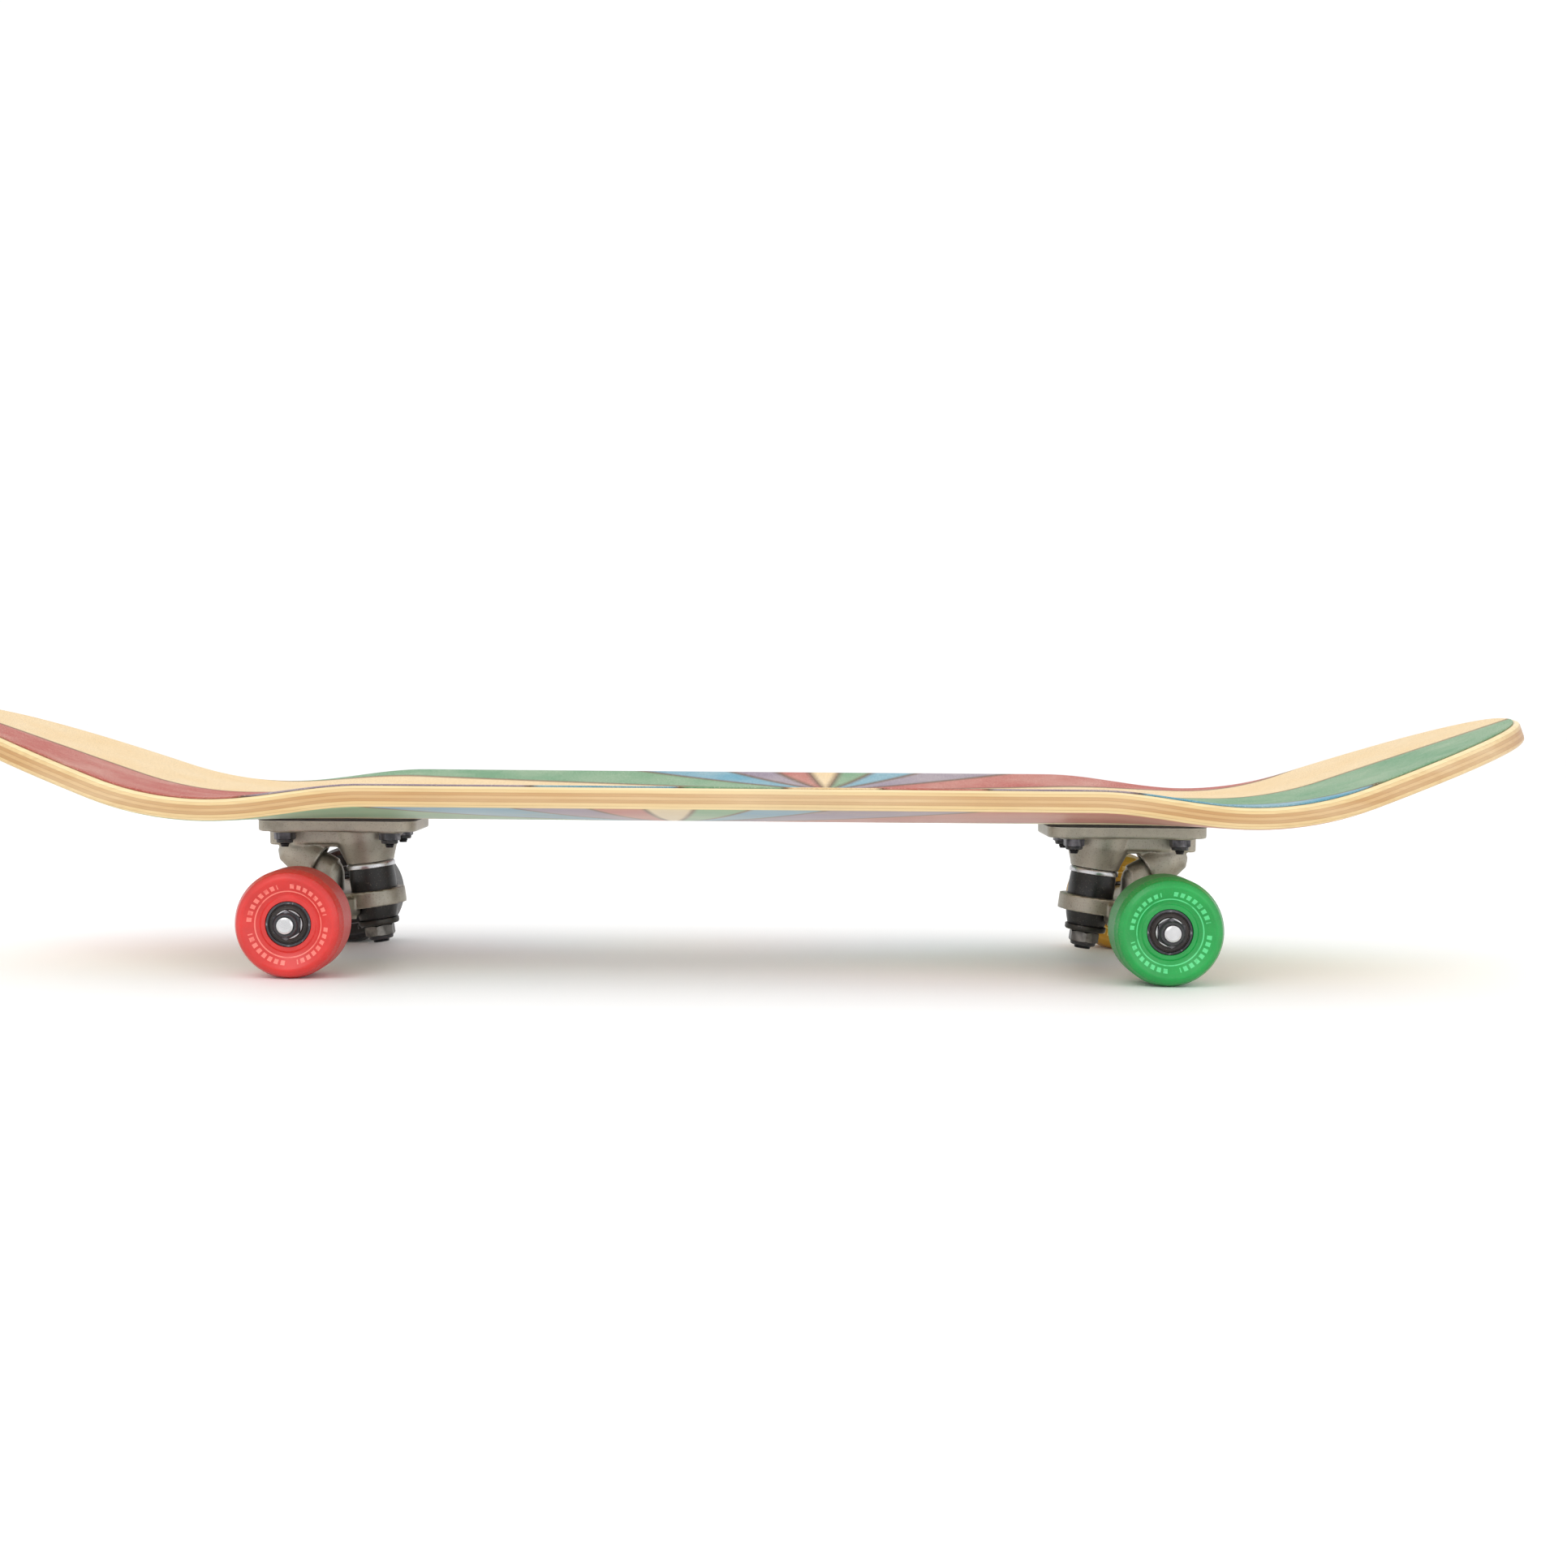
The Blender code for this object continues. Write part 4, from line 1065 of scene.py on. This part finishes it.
def plate_holes(radius, low, high):
    spots = [bolt_place(end, side) for end in (-1, 1) for side in (-1, 1)]
    return [rod(radius, low, high, SMALL_STEPS, spot) for spot in spots]


def plate_slab(name, low, high, spare=0.0, edge=0.0):
    half_length = PLATE_LENGTH / 2 + spare
    half_width = PLATE_WIDTH / 2 + spare
    return slab(
        name, (PLATE_X - half_length, -half_width, low), (PLATE_X + half_length, half_width, high),
        corner=PLATE_CORNER, edge=edge, segments=10,
    )


def baseplate_model():
    """Flange, kingpin pedestal, pivot housing and their ribs as one casting, then machined."""
    flange = plate_slab("flange", FLANGE_BOTTOM, PLATE_TOP + 0.003, spare=0.0001, edge=0.0004)
    pedestal = turned(
        "pedestal",
        [
            Vector((0.0, 0.0450)),
            Vector((0.0186, 0.0450)),
            Vector((0.0162, 0.0300)),
            Vector((0.0127, PEDESTAL_SEAT + 0.0015)),
            Vector((0.0121, PEDESTAL_SEAT - 0.001)),
            Vector((0.0, PEDESTAL_SEAT - 0.001)),
        ],
        PART_STEPS,
        KINGPIN_FRAME,
    )
    mouth = PIVOT_MOUTH - 0.0005
    housing = turned(
        "housing",
        [
            Vector((0.0, NOSE_TIP + 0.0116)),
            Vector((0.0062, NOSE_TIP + 0.0112)),
            Vector((0.0098, NOSE_TIP + 0.0078)),
            Vector((0.0111, NOSE_TIP + 0.0018)),
            Vector((0.0111, mouth - 0.0008)),
            Vector((0.0, mouth - 0.0008)),
        ],
        PART_STEPS,
        STEER_FRAME,
    )
    spine = slab("spine", (-0.016, -0.0075, 0.0580), (0.014, 0.0075, 0.0710))
    buttress = slab("buttress", (0.004, -0.0092, 0.0590), (0.0280, 0.0092, 0.0710), corner=0.004)
    parts = [flange, pedestal, housing, spine, buttress]
    for side in (-1, 1):
        near, far = side * 0.0095 - 0.0016, side * 0.0095 + 0.0016
        rib = slab("rib", (-0.044, near, 0.0600), (0.024, far, 0.0700))
        start_editing(rib)
        pick(rib, "faces", lambda f: f.normal.z < -0.9)
        bpy.ops.transform.resize(value=(0.72, 1.0, 1.0), center_override=(-0.010, 0.0, 0.0))
        stop_editing()
        parts.append(rib)
        for end in (-1, 1):
            low, high = FLANGE_BOTTOM - 0.0007, FLANGE_BOTTOM + 0.002
            parts.append(rod(0.0072, low, high, SMALL_STEPS, bolt_place(end, side)))
    plate = cast("baseplate", parts)

    above = slab("above", (-0.1, -0.1, PLATE_TOP), (0.1, 0.1, PLATE_TOP + 0.1))
    carve(plate, above)
    carve(plate, rod(0.0083, mouth - 0.012, PIVOT_FLOOR + 0.0002, PART_STEPS, STEER_FRAME))
    carve(plate, rod(0.0180, PEDESTAL_SEAT - 0.012, PEDESTAL_SEAT, PART_STEPS, KINGPIN_FRAME))
    carve(plate, rod(KINGPIN_RADIUS + SLIP_GAP, 0.010, 0.050, PART_STEPS, KINGPIN_FRAME))
    pocket = KINGPIN_FLATS / sqrt(3.0) + 0.0006
    carve(plate, rod(pocket, KINGPIN_HEAD[0] - 0.0003, 0.060, PART_STEPS, KINGPIN_FRAME))
    carve(plate, joined(plate_holes(BOLT_RADIUS + 0.0003, 0.050, PLATE_TOP + 0.002)))
    carve(plate, joined(plate_holes(0.0064, 0.050, FLANGE_BOTTOM - 0.0002)))
    return smooth(plate, 38.0)


def nose_profile():
    """The pivot nose, from its tip back to its shoulder."""
    return rounded(
        [
            (0.0, NOSE_TIP, 0.0),
            (0.0044, NOSE_TIP, 0.0016),
            (0.0054, NOSE_TIP - 0.0030, 0.0008),
            (0.0060, PIVOT_MOUTH, 0.0),
            (0.0066, 0.0330, 0.0),
            (0.0070, 0.0260, 0.0),
            (0.0, 0.0260, 0.0),
        ]
    )


def hanger_model():
    """Axle arms, gussets, bushing ring and pivot nose as one casting, then machined."""
    arm_profile = [
        (0.0092, 0.0665), (0.0092, 0.0600), (0.0100, 0.0500), (0.0112, 0.0360), (0.0126, 0.0230)
    ]
    outer = [Vector(point) for point in arm_profile]
    inner = [Vector((radius, -height)) for radius, height in reversed(arm_profile)]
    arms = turned(
        "arms", [Vector((0.0, 0.0665)), *outer, *inner, Vector((0.0, -0.0665))], PART_STEPS, AXLE_FRAME
    )
    ring = rod(0.0158, -RING_HALF - 0.0002, RING_HALF + 0.0002, PART_STEPS, KINGPIN_FRAME)
    web = slab("web", (-0.0185, -0.0120, 0.0210), (0.002, 0.0120, 0.0342))
    foot = Vector((0.0015, 0.0, 0.0220))
    top = RING_CENTRE + STEER_DIRECTION * 0.0275
    neck_length = (top - foot).length
    neck = turned(
        "neck",
        [
            Vector((0.0, neck_length + 0.0050)),
            Vector((0.0052, neck_length + 0.0036)),
            Vector((0.0070, neck_length)),
            Vector((0.0122, 0.0)),
            Vector((0.0, 0.0)),
        ],
        PART_STEPS,
        along(foot, top - foot),
    )
    nose = turned("nose", nose_profile(), PART_STEPS, STEER_FRAME)
    parts = [arms, ring, web, neck, nose]
    for side in (-1, 1):
        near, far = sorted((side * 0.006, side * 0.044))
        gusset = slab("gusset", (-0.0215, near, 0.0232), (0.0, far, 0.0318))
        start_editing(gusset)
        pick(gusset, "verts", lambda v, s=side: v.co.y * s > 0.03 and v.co.x < -0.01)
        bpy.ops.transform.translate(value=(0.0175, 0.0, 0.0))
        stop_editing()
        parts.append(gusset)
    casting = cast("hanger", parts)

    room = BUSHING_RADIUS + 0.0004
    seat = RING_HALF - 0.0020
    carve(casting, rod(room, seat, PEDESTAL_SEAT + 0.004, PART_STEPS, KINGPIN_FRAME))
    carve(casting, rod(room, -0.030, -seat, PART_STEPS, KINGPIN_FRAME))
    carve(casting, rod(0.0062, -0.010, 0.010, PART_STEPS, KINGPIN_FRAME))
    carve(casting, rod(AXLE_RADIUS + SNUG_GAP, -0.08, 0.08, PART_STEPS, AXLE_FRAME))
    for side in (-1, 1):
        near, far = sorted((side * HANGER_END, side * 0.08))
        carve(casting, slab("end", (-0.03, near, 0.0), (0.03, far, 0.06)))
    return smooth(casting, 38.0)


def kingpin_model():
    low, high = KINGPIN_HEAD
    head = hexagon("kingpin", KINGPIN_FLATS, low, high)
    profile = rounded(
        [
            (0.0, low + 0.002, 0.0),
            (KINGPIN_RADIUS, low + 0.002, 0.0),
            (KINGPIN_RADIUS, -0.0100, 0.0),
        ]
    )
    profile += threads(KINGPIN_RADIUS, -0.0104, KINGPIN_END + 0.0010, 0.0010, 0.0004)
    profile += [Vector((KINGPIN_RADIUS - 0.0007, KINGPIN_END)), Vector((0.0, KINGPIN_END))]
    carve(head, turned("shank", profile, PART_STEPS), operation="UNION")
    head.data.transform(KINGPIN_FRAME)
    return smooth(head)


def kingpin_nut_models():
    """The kingpin's hexagonal nut and the nylon collar crimped into its end."""
    low, high = KINGPIN_NUT
    bore = KINGPIN_RADIUS + 0.00008
    nut = hexagon("kingpin nut", KINGPIN_FLATS, low + 0.0017, high)
    carve(nut, rod(bore, low - 0.002, high + 0.002, PART_STEPS))
    nut.data.transform(KINGPIN_FRAME)
    corners = [
        (bore, low + 0.0017, 0.0),
        (KINGPIN_FLATS * 0.46, low + 0.0017, 0.0),
        (KINGPIN_FLATS * 0.44, low, 0.0007),
        (bore, low, 0.0004),
    ]
    collar = turned("collar", rounded(corners), PART_STEPS, KINGPIN_FRAME, ring=True)
    return smooth(nut), smooth(collar)


def bushing_model(ends, radii, bulge):
    """A urethane bushing with a slight belly. Its bore widens towards the ring end."""
    washer_end, ring_end = ends
    washer_radius, ring_radius = radii
    snug = KINGPIN_RADIUS + SLIP_GAP
    middle = (washer_end + ring_end) / 2
    corners = [
        (snug, washer_end, 0.0004),
        (washer_radius, washer_end, 0.0011),
        ((washer_radius + ring_radius) / 2 + bulge, middle, 0.0060),
        (ring_radius, ring_end, 0.0011),
        (BUSHING_WIDE_BORE, ring_end, 0.0003),
        (BUSHING_WIDE_BORE, middle, 0.0010),
        (snug, washer_end * 0.85 + ring_end * 0.15, 0.0004),
    ]
    outline = close_points(rounded(corners, 6), 0.0008)
    return smooth(turned("bushing", outline, PART_STEPS, KINGPIN_FRAME, ring=True))


def cup_washer_model(face, direction, radius):
    """A pressed cup washer whose lip turns over the bushing. The face is its flat outer side."""
    bore = KINGPIN_RADIUS + SLIP_GAP
    thickness = 0.0013
    lip = 0.0030
    corners = [
        (bore, face, 0.0002),
        (radius, face, 0.0013),
        (radius, face + direction * lip, 0.0003),
        (radius - 0.0008, face + direction * lip, 0.0003),
        (radius - 0.0008, face + direction * thickness, 0.0004),
        (bore, face + direction * thickness, 0.0002),
    ]
    return smooth(turned("cup washer", rounded(corners, 4), PART_STEPS, KINGPIN_FRAME, ring=True))


def pivot_cup_model():
    inner = nose_profile()[:-3]
    room = 0.0003
    inside = [Vector((point.x + room if point.x else 0.0, point.y + room)) for point in inner]
    inside[-1] = Vector((inside[-1].x, PIVOT_MOUTH))
    outside = rounded(
        [
            (0.0, PIVOT_FLOOR, 0.0),
            (0.0080, PIVOT_FLOOR, 0.0008),
            (0.0080, PIVOT_MOUTH, 0.0006),
            (0.0070, PIVOT_MOUTH, 0.0),
        ],
        4,
    )
    return smooth(turned("pivot cup", outside + list(reversed(inside)), PART_STEPS, STEER_FRAME))


def axle_model():
    """The axle: plain through the hanger, threaded and chamfered at each end."""
    half = [Vector((0.0, AXLE_END)), Vector((AXLE_RADIUS - 0.0008, AXLE_END))]
    half += threads(AXLE_RADIUS, AXLE_END - 0.0005, 0.0915, 0.0009, 0.00035)
    half += [Vector((AXLE_RADIUS, 0.0908))]
    mirrored = [Vector((point.x, -point.y)) for point in reversed(half)]
    return smooth(turned("axle", half + mirrored, SMALL_STEPS, AXLE_FRAME))


def riser_model():
    top = UNDERSIDE - SNUG_GAP
    pad = plate_slab("riser", PLATE_TOP + SNUG_GAP, top, spare=0.0004, edge=0.0002)
    carve(pad, joined(plate_holes(BOLT_RADIUS + 0.0004, 0.060, top + 0.002)))
    return smooth(pad)


def build_trucks():
    nut, nut_collar = kingpin_nut_models()
    upper_bushing = bushing_model(UPPER_BUSHING, UPPER_BUSHING_RADII, 0.0003)
    lower_bushing = bushing_model(LOWER_BUSHING, LOWER_BUSHING_RADII, 0.0002)
    upper_washer = cup_washer_model(PEDESTAL_SEAT - SNUG_GAP, -1, 0.0126)
    lower_washer = cup_washer_model(KINGPIN_NUT[1] + SNUG_GAP, 1, 0.0106)
    board_pieces = [
        (riser_model(), "riser_sheet", PAD, "riser_plastic", "riser_pad"),
        (baseplate_model(), "baseplate_casting", CAST, "cast_aluminium", "baseplate"),
        (pivot_cup_model(), "pivot_thimble", PIVOT, "pivot_urethane", "pivot_cup"),
        (kingpin_model(), "kingpin_bolt", BLACK_STEEL, "black_steel", "kingpin"),
        (nut, "kingpin_locknut", UNDER_HANGER_SHADED_STEEL, "bright_steel", "kingpin_nut"),
        (nut_collar, "kingpin_collar", NYLON, "black_steel", None),
        (upper_washer, "upper_cup_washer", BRIGHT_STEEL, "bright_steel", "washer_upper"),
        (lower_washer, "lower_cup_washer", UNDER_HANGER_SHADED_STEEL, "bright_steel", "washer_lower"),
    ]
    steered_pieces = [
        (hanger_model(), "hanger_casting", CAST, "cast_aluminium", "hanger"),
        (axle_model(), "axle_rod", BRIGHT_STEEL, "bright_steel", "axle"),
    ]
    bushings = [
        (upper_bushing, "barrel_bushing", UPPER_BEND, "bushing_upper"),
        (lower_bushing, "cone_bushing", LOWER_BEND, "bushing_lower"),
    ]
    for end in ENDS:
        place = truck_matrix(end)
        steered = f"{end}_axle_unit"
        for rows, body in ((board_pieces, "board"), (steered_pieces, steered)):
            for model, name, finish, slot, node_name in rows:
                nodes = [f"{node_name}_{end}"] if node_name else []
                set_copy(model, f"{end}_{name}", place, finish, slot, body, *nodes)
        for model, name, bend, node_name in bushings:
            nodes = [f"{node_name}_{end}"]
            piece = set_copy(model, f"{end}_{name}", place, BUSHING, "bushing_urethane", None, *nodes)
            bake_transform(piece)
    for model, *_ in board_pieces + steered_pieces + bushings:
        bpy.data.objects.remove(model)


# Wheels


def wheel_model():
    """A one-piece wheel: rounded lips, dished faces and a stepped seat for each bearing."""
    half_width = WHEEL_WIDTH / 2
    outside = [
        (BEARING_RADIUS + SNUG_GAP, 0.0050, 0.0),
        (BEARING_RADIUS + SNUG_GAP, 0.0127, 0.0003),
        (0.0131, 0.0127, 0.0005),
        (0.0139, 0.0120, 0.0004),
        (0.0150, 0.0124, 0.0008),
        (0.0222, half_width, 0.0016),
        (0.0250, 0.01365, 0.0020),
        (WHEEL_RADIUS, 0.0095, 0.0028),
    ]
    mirrored = [(radius, -height, rounding) for radius, height, rounding in reversed(outside)]
    bore = [(0.0080, -0.0050, 0.0003), (0.0080, 0.0050, 0.0003)]
    return smooth(turned("wheel", rounded(outside + mirrored + bore, 6), WHEEL_STEPS, ring=True), 40.0)


def ring_model(name, bore, radius, low, high, rounding, steps=SMALL_STEPS):
    """A plain turned ring with its edges rounded."""
    square = ((bore, high), (radius, high), (radius, low), (bore, low))
    corners = [(*corner, rounding) for corner in square]
    return smooth(turned(name, rounded(corners, 3), steps, ring=True))


def race_model(name, bore, radius, rounding):
    return ring_model(name, bore, radius, -BEARING_HALF, BEARING_HALF, rounding, PART_STEPS)


def seal_model():
    """The bearing's two pressed shields with the grease space between, as one solid ring."""
    face = BEARING_HALF - 0.0003
    half = [
        (0.0062, face - 0.0005, 0.0),
        (0.0066, face - 0.0001, 0.0002),
        (0.0075, face, 0.0003),
        (0.0080, face - 0.0003, 0.0003),
        (0.0090, face - 0.0003, 0.0003),
        (0.0094, face, 0.0003),
        (0.0097, face - 0.0002, 0.0),
    ]
    mirrored = [(radius, -height, rounding) for radius, height, rounding in reversed(half)]
    return smooth(turned("seal", rounded(half + mirrored, 3), PART_STEPS, ring=True))


def axle_nut_models(low):
    """The axle's lock nut and its nylon collar, measured from the wheel's middle."""
    flats = 0.0127
    bore = AXLE_RADIUS + THREAD_GAP
    shoulder, crown = low + 0.0040, low + 0.0055
    nut = hexagon("axle nut", flats, low, shoulder)
    carve(nut, rod(bore, low - 0.002, low + 0.008, SMALL_STEPS))
    corners = [
        (bore, crown, 0.0003),
        (flats * 0.43, crown, 0.0006),
        (flats * 0.46, shoulder, 0.0),
        (bore, shoulder, 0.0),
    ]
    collar = turned("collar", rounded(corners, 4), SMALL_STEPS, ring=True)
    return smooth(nut), smooth(collar)


def build_wheels():
    washer_low = BEARING_FACE + SNUG_GAP
    washer_high = washer_low + 0.0010
    nut, collar = axle_nut_models(washer_high + 0.0003)
    wheel = wheel_model()
    outer_race = race_model("outer race", 0.0096, BEARING_RADIUS, 0.0003)
    inner_race = race_model("inner race", AXLE_RADIUS + SNUG_GAP, 0.0063, 0.0003)
    seal = seal_model()
    bore = AXLE_RADIUS + SLIP_GAP
    spacer = ring_model("spacer", bore, 0.0054, -0.0052, 0.0052, 0.0002)
    outer_washer = ring_model("outer washer", bore, 0.0070, washer_low, washer_high, 0.0002)
    inner_low, inner_high = HANGER_END - WHEEL_OFFSET + SNUG_GAP, -BEARING_FACE - SNUG_GAP
    inner_washer = ring_model("inner washer", bore, 0.0068, inner_low, inner_high, 0.0002)
    for corner in CORNERS:
        end = corner.split("_")[0]
        hub = hub_matrix(corner)
        turning = f"{corner}_wheel_unit"
        slot, codes = WHEEL_CODES[corner]
        finish = wheel_finish(slot.replace("_", " "), WHEEL_CENTRES[corner], codes)
        set_copy(wheel, f"{corner}_urethane_wheel", hub, finish, slot, turning, f"wheel_{corner}")
        set_copy(spacer, f"{corner}_bearing_spacer", hub, BRIGHT_STEEL, "bright_steel", turning)
        for side, offset in (("inner", -BEARING_OFFSET), ("outer", BEARING_OFFSET)):
            spot = hub @ Matrix.Translation((0.0, 0.0, offset))
            label = f"{corner}_{side}"
            rows = (
                (outer_race, "outer_race", RACE_STEEL, [f"bearing_{label}"]),
                (inner_race, "inner_race", RACE_STEEL, []),
                (seal, "seal", SEAL, []),
            )
            for model, name, finish, nodes in rows:
                set_copy(model, f"{label}_{name}", spot, finish, "bearing_black", turning, *nodes)
        rows = (
            (outer_washer, "outer_washer", BRIGHT_STEEL, "bright_steel", [f"speed_washer_{corner}"]),
            (inner_washer, "inner_washer", BRIGHT_STEEL, "bright_steel", []),
            (nut, "axle_locknut", BLACK_STEEL, "black_steel", [f"axle_nut_{corner}"]),
            (collar, "axle_collar", NYLON, "black_steel", []),
        )
        for model, name, finish, slot, nodes in rows:
            set_copy(model, f"{corner}_{name}", hub, finish, slot, f"{end}_axle_unit", *nodes)
    for model in (nut, collar, wheel, outer_race, inner_race, seal, spacer, outer_washer, inner_washer):
        bpy.data.objects.remove(model)


# Studio

CAMERA_PLACE = (0.0201, -1.1477, 0.1404)
CAMERA_YAW = 0.0135
CAMERA_PITCH = -0.0420
CAMERA_ROLL = -0.0077
CAMERA_LENS = 50.7
CAMERA_SHIFT = 0.027
SURROUND_STRENGTH = 1.04
BOARD_CENTRE = (0.0, 0.0, 0.05)


def build_floor():
    deselect()
    bpy.ops.mesh.primitive_plane_add(size=14.0)
    floor = bpy.context.object
    floor.name = "studio_floor"
    start_editing(floor)
    bpy.ops.mesh.subdivide(number_cuts=3)
    stop_editing()
    floor.data.materials.append(floor_finish())


def add_lamp(name, place, target, size, power):
    data = bpy.data.lights.new(name, "AREA")
    data.shape = "SQUARE"
    data.size = size
    data.energy = power
    lamp = bpy.data.objects.new(name, data)
    lamp.location = place
    lamp.rotation_euler = (Vector(target) - Vector(place)).to_track_quat("-Z", "Y").to_euler()
    bpy.context.scene.collection.objects.link(lamp)


def build_lights():
    world = bpy.data.worlds.new("white surround")
    world.use_nodes = True
    background = world.node_tree.nodes["Background"]
    background.inputs["Color"].default_value = (1.0, 1.0, 1.0, 1.0)
    background.inputs["Strength"].default_value = SURROUND_STRENGTH
    bpy.context.scene.world = world
    bpy.context.scene.view_settings.view_transform = "Standard"
    add_lamp("key", (-0.9, -1.6, 1.7), BOARD_CENTRE, size=1.4, power=10.0)
    add_lamp("fill", (1.3, -1.5, 0.6), BOARD_CENTRE, size=1.2, power=3.0)
    add_lamp("back", (0.2, 1.6, 1.4), (0.0, 0.0, 0.08), size=1.4, power=6.0)


def build_camera():
    """The viewpoint: close to level, a little above the deck, almost square to the side."""
    turns = ((CAMERA_YAW, "Z"), (CAMERA_PITCH, "X"), (CAMERA_ROLL, "Y"))
    yaw, pitch, roll = (Matrix.Rotation(angle, 3, axis) for angle, axis in turns)
    right, forward, up = (yaw @ pitch @ roll).transposed()
    data = bpy.data.cameras.new("camera")
    data.sensor_width = 36.0
    data.lens = CAMERA_LENS
    data.shift_x = CAMERA_SHIFT
    camera = bpy.data.objects.new("camera", data)
    facing = Matrix((right, up, -forward)).transposed().to_4x4()
    camera.matrix_world = Matrix.Translation(CAMERA_PLACE) @ facing
    bpy.context.scene.collection.objects.link(camera)
    bpy.context.scene.camera = camera


build_camera()
build_deck()
build_deck_hardware()
build_trucks()
build_wheels()
build_floor()
build_lights()
